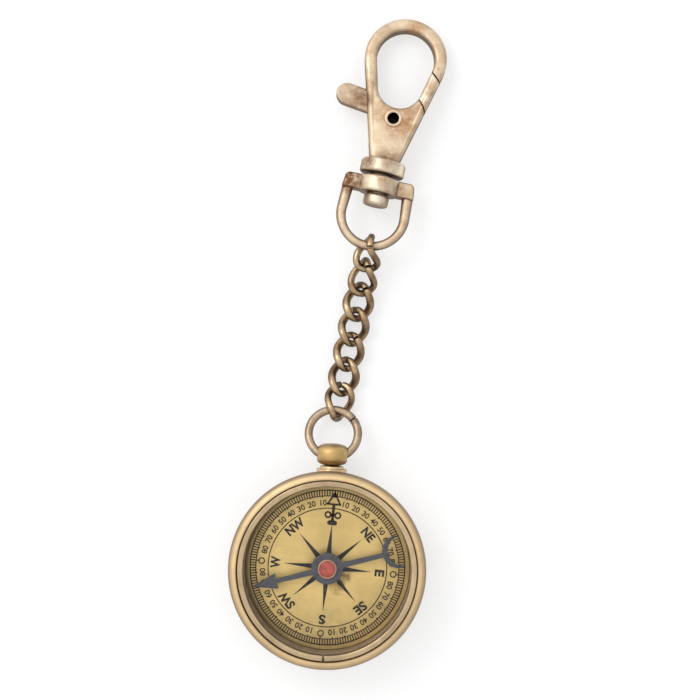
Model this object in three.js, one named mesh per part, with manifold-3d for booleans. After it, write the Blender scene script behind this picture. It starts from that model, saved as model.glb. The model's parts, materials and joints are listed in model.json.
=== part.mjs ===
// A pocket compass on a keychain: brass case with a swinging bow ring, seven curb links,
// a swivel eye and a spring-gate hook. Millimetres, +Z up out of the dial.
// The origin is the middle of the flat case back, and +Y runs through the pendant ball.
// It lies on a table as it would be laid out, with the chain stretched from the bow to the clasp.
import * as THREE from 'three';
import { mergeVertices } from 'three/addons/utils/BufferGeometryUtils.js';
import Module from 'manifold-3d';

const wasm = await Module();
wasm.setup();

const DEGREE = Math.PI / 180;

// Fits between pieces
const seatGap = 0.05; // between flat faces that rest on each other
const slideFit = 0.12; // radial play of pieces pressed or staked in a hole
const runFit = 0.2; // radial play of pieces that turn on each other
const sideFit = 0.3; // play on each side of the lever in its slot
const linkGap = 0.3; // slack between two chain links
const endGap = 0.12; // slack of the end links in the bow ring and the swivel eye
const floorGap = 0.06; // lets the sloping collar clear the table

// Case
const caseRadius = 19;
const caseHeight = 11.2;
const backRound = 1.7; // round from the side wall to the flat back
const rimOverhang = 0.7; // rim beyond the side wall
const rimHeight = 2.4;
const rimStep = 0.5; // height of the slope from barrel to rim
const rimLand = 0.2; // flat left on top of the rim beside the mouth
const rimWidth = 1.6; // from the outside to the bore for the glass and its ring
const shoulderWidth = 1.4; // seat of the glass
const baseThickness = 1.8;
const ledgeWidth = 1.7; // seat of the dial
const bossRadius = 2.2; // boss that holds the pivot post
const bossFloor = 0.8; // metal left under the post

// Dial, glass and retaining ring
const dialThickness = 0.6;
const glassThickness = 1.2;
const glassChamfer = 0.25;
const ringWidth = 1.05;
const ringHeight = 0.9;
const ringSink = 0.3; // top of the ring below the rim
const ringSplit = 0.45;
const ringRound = 0.25;
const needleRoom = 3.5; // from dial to glass

// Needle and pivot
const bladeLift = 1.6; // blade above the dial
const bladeThickness = 0.35;
const hubRadius = 3.05;
const arrowGap = 1.1; // from the arrow's tip to the wall of the case
const arrowLength = 4.9;
const arrowHalfWidth = 1.52;
const arrowBarb = 0.12; // how far the barbs sweep back past the root of the head
const shaftHalfWidth = 0.44;
const shaftRootHalfWidth = 0.58;
const crescentGap = 1.85; // from the middle of the crescent to the wall
const crescentRadius = 3.15;
const crescentThickness = 1.1;
const hornHalfSpan = 3;
const needleTurn = 106; // arrow turned from +Y at rest
const capRimRadius = 1.8;
const capRimHeight = 0.65;
const capSleeveRadius = 1.2;
const capSleeveDepth = 0.6; // sleeve below the blade
const capCupRadius = 0.7;
const jewelRadius = 1.5;
const jewelDepth = 0.35;
const jewelCrown = 0.15;
const jewelFlatRadius = 0.95;
const postRadius = 0.85;
const postStand = 0.4; // post above the dial
const pinRadius = 0.45;
const pinTaper = 1.1;
const tipGap = 0.15; // between the pin's tip and the cap's cup

// Pendant
const collarRadius = 2.9;
const collarStepRadius = 2.3;
const collarStand = 0.2; // face of the flange beyond the rim
const neckHeight = 0.55; // step between flange and ball
const ballRadius = 3.3;
const ballMouth = 2.85; // from the pendant's axis to the mouths of the cross hole
const ballHeight = 4.3;
const ballSquareness = 2.8; // exponent of the ball's barrel profile
const shankRadius = 1.2;
const shankDepth = 1.5; // shank inside the case wall

// Bow ring
const bowRadius = 4.8; // to the middle of the wire
const bowWire = 1.65;
const bowFit = 0.15; // play of the wire in the ball's cross hole
const bowSeamAngle = 38; // where the wire's ends meet
const bowSeamGap = 0.3;
const bowContactAngle = 83; // where the chain pulls on the ring

// Chain
const linkCount = 7;
const linkWire = 1.4;
const linkWidthRatio = 1.68; // half width to the middle of the wire, in wires
const linkLengthRatio = 2.393; // half length likewise
const linkSquareness = 2.4; // exponent of the link's oval
const linkTwist = 46; // turn of each end loop out of the link's plane
const linkSeamGap = 0.35;
const linkLevelRatio = 1.415; // middle of the flat links above the table, in wires
const bowLift = 0.47; // far wire of the bow above that
const chainLean = 8.6; // chain's heading, from +Y towards +X
const thirdSlopeAngle = 3; // third link from the clasp, as it settles on the table
const secondSlopeAngle = 18.5; // second link, up towards the eye
const firstRolls = [46, 29, 9]; // links nearest the clasp roll to hang in the eye
const lastRoll = -20; // the link in the bow rolls the other way to let the ring through
const seamPlaces = [40, 48, 50, 96, 55, 84, 92]; // butt seams round the links, from the clasp down

// Swivel eye
const eyeWire = 1.75;
const eyeHalfWidth = 6.2; // to the middle of the wire
const eyeEarHalfWidth = 5.85; // middle of the wire at the ears
const eyeArmLength = 5; // from the ears to the round end
const eyeContactAngle = 6; // where the chain pulls on the eye, from the middle of its round end
const eyeBarHeight = 3.1;
const eyeBarThickness = 3;
const eyeBossRadius = 4.05;
const eyeEarRound = 1;
const eyeEdgeRound = 0.5;

// Hook
const hookThickness = 5.2;
const loopThickness = 3.2; // the plate thins from the throat to the tip of the loop
const hookRound = 0.85; // rounding of the hook's edges
const loopOuterRadius = 8;
const loopBar = 2.35; // width of the bar round the loop
const loopReach = 22; // from collar to the middle of the loop
const heelOuterRadius = 3;
const heelReach = 2.2;
const throatTaper = 1.35; // opening's radius at the throat, less than at the loop
const throatDrop = 5.8; // from the middle of the loop to the throat
const hookCollarRadius = 4.35;
const hookCollarHeight = 2.7;
const hookCollarRound = 0.5;
const swivelGap = 0.65; // shown between collar and boss
const stemRadius = 1.7;
const stemHeadRadius = 2.45;
const stemHeadHeight = 2.2;
const stemHeadRound = 0.7;
const claspLean = 9.5; // clasp's heading, from +Y towards +X

// Gate lever, rivet and spring
const pivotDrop = 2.3; // from the opening's lower end to the rivet
const leverThickness = 2.4;
const leverHubRadius = 2.1;
const gateRootRadius = 6.1; // shoulder of the body, round the rivet
const gateRootSweep = 75; // angle the shoulder runs through, into the opening
const gateGap = 0.3;
const noseInnerDrop = 1.55; // slanted cut at the nose, from the middle of the loop to its inner end
const noseOuterDrop = 3.82; // and to its outer end
const gateArmAngle = 34;
const gateArmReach = 6.6;
const gateArmRootRadius = 1.9;
const gateArmTipRadius = 0.5;
const tabReach = 9.8; // sideways from the rivet to the tab's rounded end
const tabHeight = 3.4;
const tabRadius = 2.1;
const tabRootReach = 5.2; // where the tab enters the slot, sideways from the rivet
const tabRootHeight = 2.75;
const tabNeckRadius = 1.2; // neck from that root to the rivet
const slotHeightBelow = 5.2; // slot below the rivet
const slotHeightAbove = 5.4; // slot above the rivet
const slotMouthDrop = 1.6; // where the slot leaves the wall on the gate side, below the rivet
const slotWall = 1.4; // wall left on the gate side
const rivetRadius = 1.35;
const rivetLipRadius = 1.7;
const rivetLipHeight = 0.3;
const rivetHollowRadius = 1.1;
const rivetHollowDepth = 2.4;
const rivetHeadRadius = 2;
const rivetHeadHeight = 0.6;
const rivetHeadFlat = 1.3; // radius of the flat on the head
const springWire = 0.35;
const springFit = 0.345; // coil clear of the rivet
const springTurns = 1.25;
const springPitch = 0.82;
const springLegGap = 0.6; // end of the leg in the body, from the slot's bottom
const springLeverLeg = 1.8; // leg across, in the lever's pocket

// Facets round each kind of piece
const caseFacets = 48;
const turnedFacets = 24;
const wireSides = 8;
const linkSteps = 28;
const ringSteps = 32;
const ballSteps = 12;
const roundSteps = 3;
const springSteps = 28;
const springSides = 5;

// Radii of the case, from the outside in
const barrelRadius = caseRadius - rimOverhang;
const backRadius = barrelRadius - backRound;
const mouthRadius = caseRadius - rimWidth;
const wallRadius = mouthRadius - shoulderWidth;
const arrowReach = wallRadius - arrowGap;
const crescentReach = wallRadius - crescentGap;

// Heights in the case, from the mouth down to the base
const ringTop = caseHeight - ringSink;
const glassTop = ringTop - ringHeight - seatGap;
const shoulderZ = glassTop - glassThickness - seatGap;
const dialTop = shoulderZ - needleRoom;
const ledgeZ = dialTop - dialThickness - seatGap;
const bladeZ = dialTop + bladeLift;
const barrelTop = caseHeight - rimHeight - rimStep;
const pendantZ = barrelTop - collarRadius - runFit;
const collarReach = caseRadius + collarStand;
const neckReach = collarReach + neckHeight;
const ballReach = neckReach + seatGap + ballHeight / 2;

// The bent wire of the bow passes a straight cross hole: it bears on the middle of the hole
// with its outside and on the mouths with its inside
const bowOuterRadius = bowRadius + bowWire / 2;
const bowInnerRadius = bowRadius - bowWire / 2;
const bowCentre = (bowOuterRadius + Math.sqrt(bowInnerRadius ** 2 - ballMouth ** 2)) / 2;
const ballHole = bowOuterRadius - bowCentre + bowFit;

// Chain: every size of a link follows its wire
const linkHalfWidth = linkWidthRatio * linkWire;
const linkHalfLength = linkLengthRatio * linkWire;
const chainLevel = linkLevelRatio * linkWire;
const bowLevel = chainLevel + bowLift;

// Clasp: distances along its axis from the middle of the hook's collar
const bossTop = -hookCollarHeight / 2 - swivelGap;
const bossBottom = bossTop - eyeBarHeight;
const eyeRoundCentre = bossBottom - eyeArmLength + eyeWire / 2;
const eyeReach = eyeHalfWidth - eyeRoundCentre;
const loopTip = loopReach + loopOuterRadius;
const claspPitch = Math.asin((hookCollarRadius - loopThickness / 2) / loopTip);
const slotWidth = leverThickness + 2 * sideFit;
const loopInnerRadius = loopOuterRadius - loopBar;
const throatRadius = loopInnerRadius - throatTaper;
const throatReach = loopReach - throatDrop;
const pivotReach = throatReach - throatRadius - pivotDrop;
const slotBottom = pivotReach - slotHeightBelow;
const slotTop = pivotReach + slotHeightAbove;
const slotMouth = pivotReach - slotMouthDrop;
const noseInner = new THREE.Vector2(loopInnerRadius, loopReach - noseInnerDrop);
const noseOuter = new THREE.Vector2(loopOuterRadius, loopReach - noseOuterDrop);
const springRadius = rivetRadius + springFit + springWire / 2;
const springBodyLeg = slotHeightBelow - springLegGap;
const pocketRadius = Math.hypot(springRadius, springLeverLeg) + springWire / 2 + slideFit;
const pocketDepth = springPitch * springTurns + springWire + slideFit;

// A geometry with shared corners merged, empty triangles dropped and its faces pointing out
function closedGeometry(geometry) {
  const bare = new THREE.BufferGeometry();
  bare.setAttribute('position', geometry.getAttribute('position'));
  bare.setIndex(geometry.getIndex());
  const merged = mergeVertices(bare, 1e-3);
  const corners = merged.getAttribute('position');
  const index = merged.getIndex().array;
  const [a, b, c] = [new THREE.Vector3(), new THREE.Vector3(), new THREE.Vector3()];
  const kept = [];
  let volume = 0;
  for (let i = 0; i < index.length; i += 3) {
    const [p, q, r] = [index[i], index[i + 1], index[i + 2]];
    if (p === q || q === r || r === p) continue;
    kept.push(p, q, r);
    a.fromBufferAttribute(corners, p);
    b.fromBufferAttribute(corners, q);
    c.fromBufferAttribute(corners, r);
    volume += a.dot(b.cross(c));
  }
  if (volume < 0) kept.reverse();
  merged.setIndex(kept);
  return merged;
}

function toSolid(geometry) {
  const closed = closedGeometry(geometry);
  return new wasm.Manifold(new wasm.Mesh({
    numProp: 3,
    vertProperties: new Float32Array(closed.getAttribute('position').array),
    triVerts: new Uint32Array(closed.getIndex().array),
  }));
}

function toGeometry(solid) {
  const mesh = solid.getMesh();
  const geometry = new THREE.BufferGeometry();
  geometry.setAttribute('position', new THREE.BufferAttribute(mesh.vertProperties, mesh.numProp));
  geometry.setIndex(new THREE.BufferAttribute(mesh.triVerts, 1));
  return geometry;
}

const join = (...geometries) => geometries.map(toSolid).reduce((sum, next) => sum.add(next));
const cut = (solid, ...tools) => tools.map(toSolid).reduce((rest, tool) => rest.subtract(tool), solid);

// A profile of [radius, height] pairs turned round +Y, or round +Z for the pieces of the case
function turned(profile, facets) {
  return new THREE.LatheGeometry(profile.map(([r, h]) => new THREE.Vector2(r, h)), facets);
}

function turnedUp(profile, facets = caseFacets) {
  return turned(profile, facets).rotateX(Math.PI / 2);
}

// Points of a quarter round from one angle to another, for a turned profile
function roundPoints(r, h, radius, from, to) {
  return Array.from({ length: roundSteps + 1 }, (_, i) => {
    const angle = (from + (to - from) * i / roundSteps) * DEGREE;
    return [r + radius * Math.cos(angle), h + radius * Math.sin(angle)];
  });
}

// A turned rod along +Y with its two ends rounded
function roundedRod(radius, from, to, round, facets = turnedFacets) {
  return turned([
    [0, from],
    ...roundPoints(radius - round, from + round, round, -90, 0),
    ...roundPoints(radius - round, to - round, round, 0, 90),
    [0, to],
  ], facets);
}

// A flat shape as a plate about z = 0, with rounded edges where a rounding is given
function plate(shape, thickness, round = 0, curveSegments = 8, bevelSegments = 2) {
  const depth = thickness - 2 * round;
  return new THREE.ExtrudeGeometry(shape, {
    depth,
    curveSegments,
    bevelEnabled: round > 0,
    bevelThickness: round,
    bevelSize: round,
    bevelOffset: -round,
    bevelSegments,
  }).translate(0, 0, -depth / 2);
}

// The outline round two circles, joined by their outer tangents
function twoCircleOutline(near, nearRadius, far, farRadius) {
  const along = Math.atan2(far.y - near.y, far.x - near.x);
  const spread = Math.acos((nearRadius - farRadius) / near.distanceTo(far));
  const outline = new THREE.Shape();
  outline.absarc(far.x, far.y, farRadius, along - spread, along + spread, false);
  outline.absarc(near.x, near.y, nearRadius, along + spread, along - spread + 2 * Math.PI, false);
  outline.closePath();
  return outline;
}

// A round wire swept along a curve, closed by its two end faces
function wireAlong(curve, diameter, steps, sides = wireSides) {
  const corners = Array.from({ length: sides }, (_, i) => {
    const angle = (i + 0.5) * 2 * Math.PI / sides;
    return new THREE.Vector2(Math.cos(angle), Math.sin(angle)).multiplyScalar(diameter / 2);
  });
  const section = new THREE.Shape(corners);
  return new THREE.ExtrudeGeometry(section, { steps, extrudePath: curve, bevelEnabled: false });
}

// A curve given by a function of its parameter from 0 to 1
class FormulaCurve extends THREE.Curve {
  constructor(place) {
    super();
    this.place = place;
  }

  getPoint(t, target = new THREE.Vector3()) {
    return target.copy(this.place(t));
  }
}

const root = new THREE.Group();
root.name = 'compass_keychain';

function addPiece(parent, name, geometry, look) {
  const piece = new THREE.Mesh(closedGeometry(geometry), new THREE.MeshStandardMaterial(look));
  piece.name = name;
  parent.add(piece);
  return piece;
}

// Turns a body or piece that lies along +Y: its slope, its heading towards +X and its roll
function aim(object, rise, heading, roll) {
  object.rotation.set(rise, -roll, -heading, 'ZXY');
}

// A moving body: a group placed at its hinge in the part's frame, then hung on the body that carries it
function addBody(carrier, place, rise = 0, heading = 0, roll = 0) {
  const body = new THREE.Group();
  body.position.copy(place);
  aim(body, rise, heading, roll);
  root.add(body);
  if (carrier !== root) carrier.attach(body);
  return body;
}

const antiqueBrass = { color: 0xc9a06b, roughness: 0.38, metalness: 1 };
const dialBrass = { color: 0xc7a45a, roughness: 0.45, metalness: 1 };
const darkBronze = { color: 0x8c6a47, roughness: 0.42, metalness: 1 };
const paleGold = { color: 0xd9ba88, roughness: 0.35, metalness: 1 };
const bluedSteel = { color: 0x565b66, roughness: 0.4, metalness: 0.9 };
const clearGlass = { color: 0xf4f7f4, roughness: 0.03, metalness: 0, transparent: true, opacity: 0.12 };
const coralRed = { color: 0xc4423c, roughness: 0.45, metalness: 0 };
const springSteel = { color: 0x9a9c9e, roughness: 0.3, metalness: 1 };

// Case: a turned cup with a shoulder for the glass, a ledge for the dial and a boss for the post
function caseBody() {
  const rimRound = rimWidth - rimLand;
  const postHole = postRadius + slideFit;
  const cup = turnedUp([
    [0, 0],
    ...roundPoints(backRadius, backRound, backRound, -90, 0),
    [barrelRadius, barrelTop],
    [caseRadius, barrelTop + rimStep],
    ...roundPoints(caseRadius - rimRound, caseHeight - rimRound, rimRound, 0, 90),
    [mouthRadius, caseHeight],
    [mouthRadius, shoulderZ],
    [wallRadius, shoulderZ],
    [wallRadius, ledgeZ],
    [wallRadius - ledgeWidth, ledgeZ],
    [wallRadius - ledgeWidth, baseThickness],
    [bossRadius, baseThickness],
    [bossRadius, ledgeZ],
    [postHole, ledgeZ],
    [postHole, bossFloor],
    [0, bossFloor],
  ]);
  const bore = shankRadius + slideFit;
  const shankHole = new THREE.CylinderGeometry(bore, bore, 2 * shankDepth, turnedFacets)
    .translate(0, barrelRadius, pendantZ);
  return toGeometry(cut(toSolid(cup), shankHole));
}

function dialPlate() {
  const radius = wallRadius - slideFit;
  const hole = postRadius + slideFit;
  const bottom = dialTop - dialThickness;
  return turnedUp([[hole, bottom], [radius, bottom], [radius, dialTop], [hole, dialTop], [hole, bottom]]);
}

function crystal() {
  const radius = mouthRadius - slideFit;
  const bottom = glassTop - glassThickness;
  return turnedUp([
    [0, bottom],
    [radius - glassChamfer, bottom],
    [radius, bottom + glassChamfer],
    [radius, glassTop - glassChamfer],
    [radius - glassChamfer, glassTop],
    [0, glassTop],
  ]);
}

// Retaining ring: a flat-sided wire bent to an open circle, its ends facing at the foot of the case
function retainingRing() {
  const outer = mouthRadius - slideFit;
  const inner = outer - ringWidth;
  const halfSplit = ringSplit / 2 / outer;
  const [start, end] = [-Math.PI / 2 + halfSplit, 1.5 * Math.PI - halfSplit];
  const arc = new THREE.Shape();
  arc.absarc(0, 0, outer, start, end, false);
  arc.absarc(0, 0, inner, end, start, true);
  arc.closePath();
  const halfTurn = caseFacets / 2;
  return plate(arc, ringHeight, ringRound, halfTurn, 1).translate(0, 0, ringTop - ringHeight / 2);
}

// Pivot post: staked in the boss, through the dial, with a fine point under the needle's cap
function pivotPost() {
  const cupApex = bladeZ + bladeThickness + seatGap;
  const tip = cupApex - tipGap;
  return turnedUp([
    [0, bossFloor + seatGap],
    [postRadius, bossFloor + seatGap],
    [postRadius, dialTop + postStand],
    [pinRadius, dialTop + postStand + (postRadius - pinRadius)],
    [pinRadius, tip - pinTaper],
    [0, tip],
  ], turnedFacets);
}

// Needle blade: barbed arrow, round hub and a crescent tail, with the arrow along +Y
function needleBlade() {
  const headRoot = arrowReach - arrowLength + arrowBarb;
  const tailRoot = crescentReach - crescentRadius;
  const arrow = new THREE.Shape([
    new THREE.Vector2(0, arrowReach),
    new THREE.Vector2(-arrowHalfWidth, arrowReach - arrowLength),
    new THREE.Vector2(-shaftHalfWidth, headRoot),
    new THREE.Vector2(-shaftRootHalfWidth, 0),
    new THREE.Vector2(-shaftHalfWidth, -tailRoot - crescentThickness / 2),
    new THREE.Vector2(shaftHalfWidth, -tailRoot - crescentThickness / 2),
    new THREE.Vector2(shaftRootHalfWidth, 0),
    new THREE.Vector2(shaftHalfWidth, headRoot),
    new THREE.Vector2(arrowHalfWidth, arrowReach - arrowLength),
  ]);
  const hub = new THREE.Shape();
  hub.absarc(0, 0, hubRadius, 0, 2 * Math.PI, false);
  const hornDrop = Math.sqrt(crescentRadius ** 2 - hornHalfSpan ** 2);
  const biteDepth = crescentRadius + hornDrop - crescentThickness;
  const biteRadius = (hornHalfSpan ** 2 + biteDepth ** 2) / (2 * biteDepth);
  const biteY = -tailRoot - crescentThickness - biteRadius;
  const hornY = -crescentReach - hornDrop;
  const outerAngle = Math.asin(-hornDrop / crescentRadius);
  const biteAngle = Math.asin((hornY - biteY) / biteRadius);
  const crescent = new THREE.Shape();
  crescent.absarc(0, -crescentReach, crescentRadius, outerAngle, Math.PI - outerAngle, false);
  crescent.absarc(0, biteY, biteRadius, Math.PI - biteAngle, biteAngle, true);
  crescent.closePath();
  const outline = join(...[arrow, hub, crescent].map((shape) => plate(shape, bladeThickness)));
  const sleeveHole = capSleeveRadius + slideFit;
  const hole = new THREE.CylinderGeometry(sleeveHole, sleeveHole, 2 * bladeThickness, turnedFacets)
    .rotateX(Math.PI / 2);
  return toGeometry(cut(outline, hole)).translate(0, 0, bladeZ + bladeThickness / 2);
}

// Needle cap: a cup whose sleeve goes through the blade, with a recess on top for the jewel
function needleCap() {
  const sleeveBottom = bladeZ - capSleeveDepth;
  const rimBottom = bladeZ + bladeThickness + seatGap;
  const rimTop = rimBottom + capRimHeight;
  const recess = jewelRadius + slideFit;
  return turnedUp([
    [0, rimBottom],
    [capCupRadius, sleeveBottom],
    [capSleeveRadius, sleeveBottom],
    [capSleeveRadius, rimBottom],
    [capRimRadius, rimBottom],
    [capRimRadius, rimTop],
    [recess, rimTop],
    [recess, rimTop - jewelDepth],
    [0, rimTop - jewelDepth],
  ], turnedFacets);
}

function capJewel() {
  const top = bladeZ + bladeThickness + seatGap + capRimHeight;
  const floor = top - jewelDepth + seatGap;
  return turnedUp([
    [0, floor],
    [jewelRadius, floor],
    [jewelRadius, top],
    [jewelFlatRadius, top + jewelCrown],
    [0, top + jewelCrown],
  ], turnedFacets);
}

// Pendant collar: a stepped flange hollowed to sit on the round side of the case
function pendantCollar() {
  const bore = shankRadius + slideFit;
  const inside = barrelRadius - shankDepth;
  const flange = turned([
    [bore, inside],
    [collarRadius, inside],
    [collarRadius, collarReach],
    [collarStepRadius, collarReach],
    [collarStepRadius, neckReach],
    [bore, neckReach],
    [bore, inside],
  ], turnedFacets).translate(0, 0, pendantZ);
  const saddle = barrelRadius + slideFit;
  const side = turnedUp([[0, 0], [saddle, 0], [saddle, caseHeight], [0, caseHeight]]);
  return toGeometry(cut(toSolid(flange), side));
}

// Pendant ball: a barrel-shaped ball with a cross hole for the bow and a shank into the case
function pendantBall() {
  const half = ballHeight / 2;
  const shankEnd = barrelRadius - shankDepth + seatGap;
  const profile = [[0, shankEnd], [shankRadius, shankEnd]];
  for (let i = 0; i <= ballSteps; i += 1) {
    const angle = (i / ballSteps - 0.5) * Math.PI;
    const height = Math.sign(angle) * Math.abs(Math.sin(angle)) ** (2 / ballSquareness);
    const radius = ballRadius * Math.abs(Math.cos(angle)) ** (2 / ballSquareness);
    if (i === 0) profile.push([shankRadius, ballReach - half]);
    else profile.push([i === ballSteps ? 0 : radius, ballReach + half * height]);
  }
  const ball = turned(profile, turnedFacets).translate(0, 0, pendantZ);
  const hole = new THREE.CylinderGeometry(ballHole, ballHole, 3 * ballRadius, turnedFacets)
    .rotateZ(Math.PI / 2)
    .translate(0, ballReach, pendantZ);
  return toGeometry(cut(toSolid(ball), hole));
}

// Bow ring, in the frame of its hinge: the ring lies in the XY plane beyond the cross hole
function bowRing() {
  const open = bowSeamGap / bowRadius;
  const path = new FormulaCurve((t) => {
    const angle = bowSeamAngle * DEGREE + open / 2 + t * (2 * Math.PI - open);
    return new THREE.Vector3(bowRadius * Math.cos(angle), bowCentre + bowRadius * Math.sin(angle), 0);
  });
  return wireAlong(path, bowWire, ringSteps);
}

// Curb link about its own middle: an oval bent so that its two end loops stand across each other
function chainLink(seam) {
  const open = linkSeamGap / linkHalfWidth;
  const power = 2 / linkSquareness;
  const path = new FormulaCurve((t) => {
    const angle = seam * DEGREE + open / 2 + t * (2 * Math.PI - open);
    const across = linkHalfWidth * Math.sign(Math.cos(angle)) * Math.abs(Math.cos(angle)) ** power;
    const along = Math.sign(Math.sin(angle)) * Math.abs(Math.sin(angle)) ** power;
    const turn = linkTwist * DEGREE * (3 * along - along ** 3) / 2;
    return new THREE.Vector3(across * Math.cos(turn), linkHalfLength * along, across * Math.sin(turn));
  });
  return wireAlong(path, linkWire, linkSteps);
}

// Swivel eye, in the clasp's frame: a D of round wire, two ears and a bored boss
function swivelEye() {
  const armTop = bossBottom + eyeBarHeight / 2;
  const arm = new THREE.Vector2(eyeHalfWidth - eyeEarHalfWidth, armTop - eyeRoundCentre).length();
  const bend = Math.PI * eyeHalfWidth;
  const whole = 2 * arm + bend;
  const path = new FormulaCurve((t) => {
    const run = t * whole;
    const side = run < whole / 2 ? -1 : 1;
    const fromEnd = Math.min(run, whole - run);
    if (fromEnd < arm) {
      const share = fromEnd / arm;
      const across = eyeEarHalfWidth + share * (eyeHalfWidth - eyeEarHalfWidth);
      return new THREE.Vector3(side * across, armTop + share * (eyeRoundCentre - armTop), 0);
    }
    const angle = Math.PI + (run - arm) / eyeHalfWidth;
    return new THREE.Vector3(
      eyeHalfWidth * Math.cos(angle), eyeRoundCentre + eyeHalfWidth * Math.sin(angle), 0);
  });
  const loop = wireAlong(path, eyeWire, ringSteps);
  const earReach = eyeEarHalfWidth + eyeWire / 2 - eyeEarRound;
  const bar = new THREE.Shape();
  bar.moveTo(-earReach - eyeEarRound, bossBottom);
  bar.lineTo(earReach + eyeEarRound, bossBottom);
  bar.absarc(earReach, bossTop - eyeEarRound, eyeEarRound, 0, Math.PI / 2, false);
  bar.absarc(-earReach, bossTop - eyeEarRound, eyeEarRound, Math.PI / 2, Math.PI, false);
  bar.closePath();
  const boss = roundedRod(eyeBossRadius, bossBottom, bossTop, eyeEdgeRound);
  const stemHole = stemRadius + runFit;
  const bore = new THREE.CylinderGeometry(stemHole, stemHole, 3 * eyeBarHeight, turnedFacets)
    .translate(0, bossBottom, 0);
  return toGeometry(cut(join(loop, plate(bar, eyeBarThickness, eyeEdgeRound, 4), boss), bore));
}

const heel = new THREE.Vector2(0, heelReach);
const throat = new THREE.Vector2(0, throatReach);
const loopCentre = new THREE.Vector2(0, loopReach);
const pivot = new THREE.Vector2(0, pivotReach);

// The hook's pear-shaped plate with its egg-shaped opening, before the gate is parted from it
function pearPlate() {
  const pear = twoCircleOutline(heel, heelOuterRadius, loopCentre, loopOuterRadius);
  pear.holes.push(twoCircleOutline(throat, throatRadius, loopCentre, loopInnerRadius));
  const geometry = plate(pear, hookThickness, hookRound);
  const corners = geometry.getAttribute('position');
  const thinFrom = throatReach - throatRadius;
  for (let i = 0; i < corners.count; i += 1) {
    const share = THREE.MathUtils.clamp((corners.getY(i) - thinFrom) / (loopTip - thinFrom), 0, 1);
    corners.setZ(i, corners.getZ(i) * THREE.MathUtils.lerp(1, loopThickness / hookThickness, share));
  }
  return geometry;
}

// The stretch of the pear between the body's shoulder and the nose, drawn in by a margin all round
function gateWindow(margin) {
  const alongNose = noseOuter.clone().sub(noseInner).normalize();
  const offNose = new THREE.Vector2(alongNose.y, -alongNose.x).multiplyScalar(margin);
  const noseStart = noseInner.clone().addScaledVector(alongNose, -loopInnerRadius / 2).add(offNose);
  const noseEnd = noseOuter.clone().addScaledVector(alongNose, loopInnerRadius / 2).add(offNose);
  const window = new THREE.Shape();
  window.absarc(pivot.x, pivot.y, gateRootRadius + margin, gateRootSweep * DEGREE, 0, true);
  window.lineTo(noseEnd.x, pivot.y);
  window.lineTo(noseEnd.x, noseEnd.y);
  window.lineTo(noseStart.x, noseStart.y);
  window.closePath();
  return plate(window, 2 * hookThickness);
}

// Edge of the body on the gate side, at a height along the clasp
function bodyEdge(height) {
  const slope = Math.asin((loopOuterRadius - heelOuterRadius) / heel.distanceTo(loopCentre));
  return heelOuterRadius / Math.cos(slope) + (height - heelReach) * Math.tan(slope);
}

// Hook body: pear plate with collar, stem and stem head, slotted for the lever and parted for the gate
function hookBody() {
  const half = hookCollarHeight / 2;
  const headTop = bossBottom - runFit;
  const collar = roundedRod(hookCollarRadius, -half, half, hookCollarRound);
  const stem = new THREE.CylinderGeometry(stemRadius, stemRadius, -headTop, turnedFacets)
    .translate(0, headTop / 2, 0);
  const head = roundedRod(stemHeadRadius, headTop - stemHeadHeight, headTop, stemHeadRound);
  const far = 2 * loopOuterRadius;
  const slot = new THREE.Shape([
    new THREE.Vector2(-far, slotBottom),
    new THREE.Vector2(bodyEdge(slotBottom) - slotWall, slotBottom),
    new THREE.Vector2(bodyEdge(slotMouth) - slotWall, slotMouth),
    new THREE.Vector2(loopOuterRadius, throatReach),
    new THREE.Vector2(-throatRadius / 2, throatReach),
    new THREE.Vector2(-throatRadius / 2, slotTop),
    new THREE.Vector2(-far, slotTop),
  ]);
  const rivetHole = new THREE.CylinderGeometry(
    rivetRadius + slideFit, rivetRadius + slideFit, 2 * hookThickness, turnedFacets)
    .rotateX(Math.PI / 2)
    .translate(0, pivotReach, 0);
  const body = cut(toSolid(pearPlate()), plate(slot, slotWidth), gateWindow(0), rivetHole);
  return toGeometry(body.add(join(collar, stem, head)));
}

// Gate lever: the parted stretch of the pear, an arm and hub in the slot, and the thumb tab
function gateLever() {
  const armAngle = gateArmAngle * DEGREE;
  const armEnd = pivot.clone().add(
    new THREE.Vector2(Math.cos(armAngle), Math.sin(armAngle)).multiplyScalar(gateArmReach));
  const tabEnd = pivot.clone().add(new THREE.Vector2(-tabReach, tabHeight));
  const gate = toSolid(pearPlate()).intersect(toSolid(gateWindow(gateGap)));
  const tabRoot = pivot.clone().add(new THREE.Vector2(-tabRootReach, tabRootHeight));
  const arm = plate(twoCircleOutline(pivot, gateArmRootRadius, armEnd, gateArmTipRadius), leverThickness);
  const neck = plate(twoCircleOutline(pivot, leverHubRadius, tabRoot, tabNeckRadius), leverThickness);
  const tab = plate(twoCircleOutline(tabRoot, tabRadius, tabEnd, tabRadius), leverThickness, hookRound / 2);
  const pivotHole = new THREE.CylinderGeometry(
    rivetRadius + runFit, rivetRadius + runFit, 2 * hookThickness, turnedFacets)
    .rotateX(Math.PI / 2)
    .translate(0, pivotReach, 0);
  const pocket = new THREE.CylinderGeometry(pocketRadius, pocketRadius, pocketDepth, turnedFacets)
    .rotateX(Math.PI / 2)
    .translate(0, pivotReach, (pocketDepth - leverThickness) / 2);
  return toGeometry(cut(gate.add(join(arm, neck, tab)), pivotHole, pocket));
}

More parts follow.
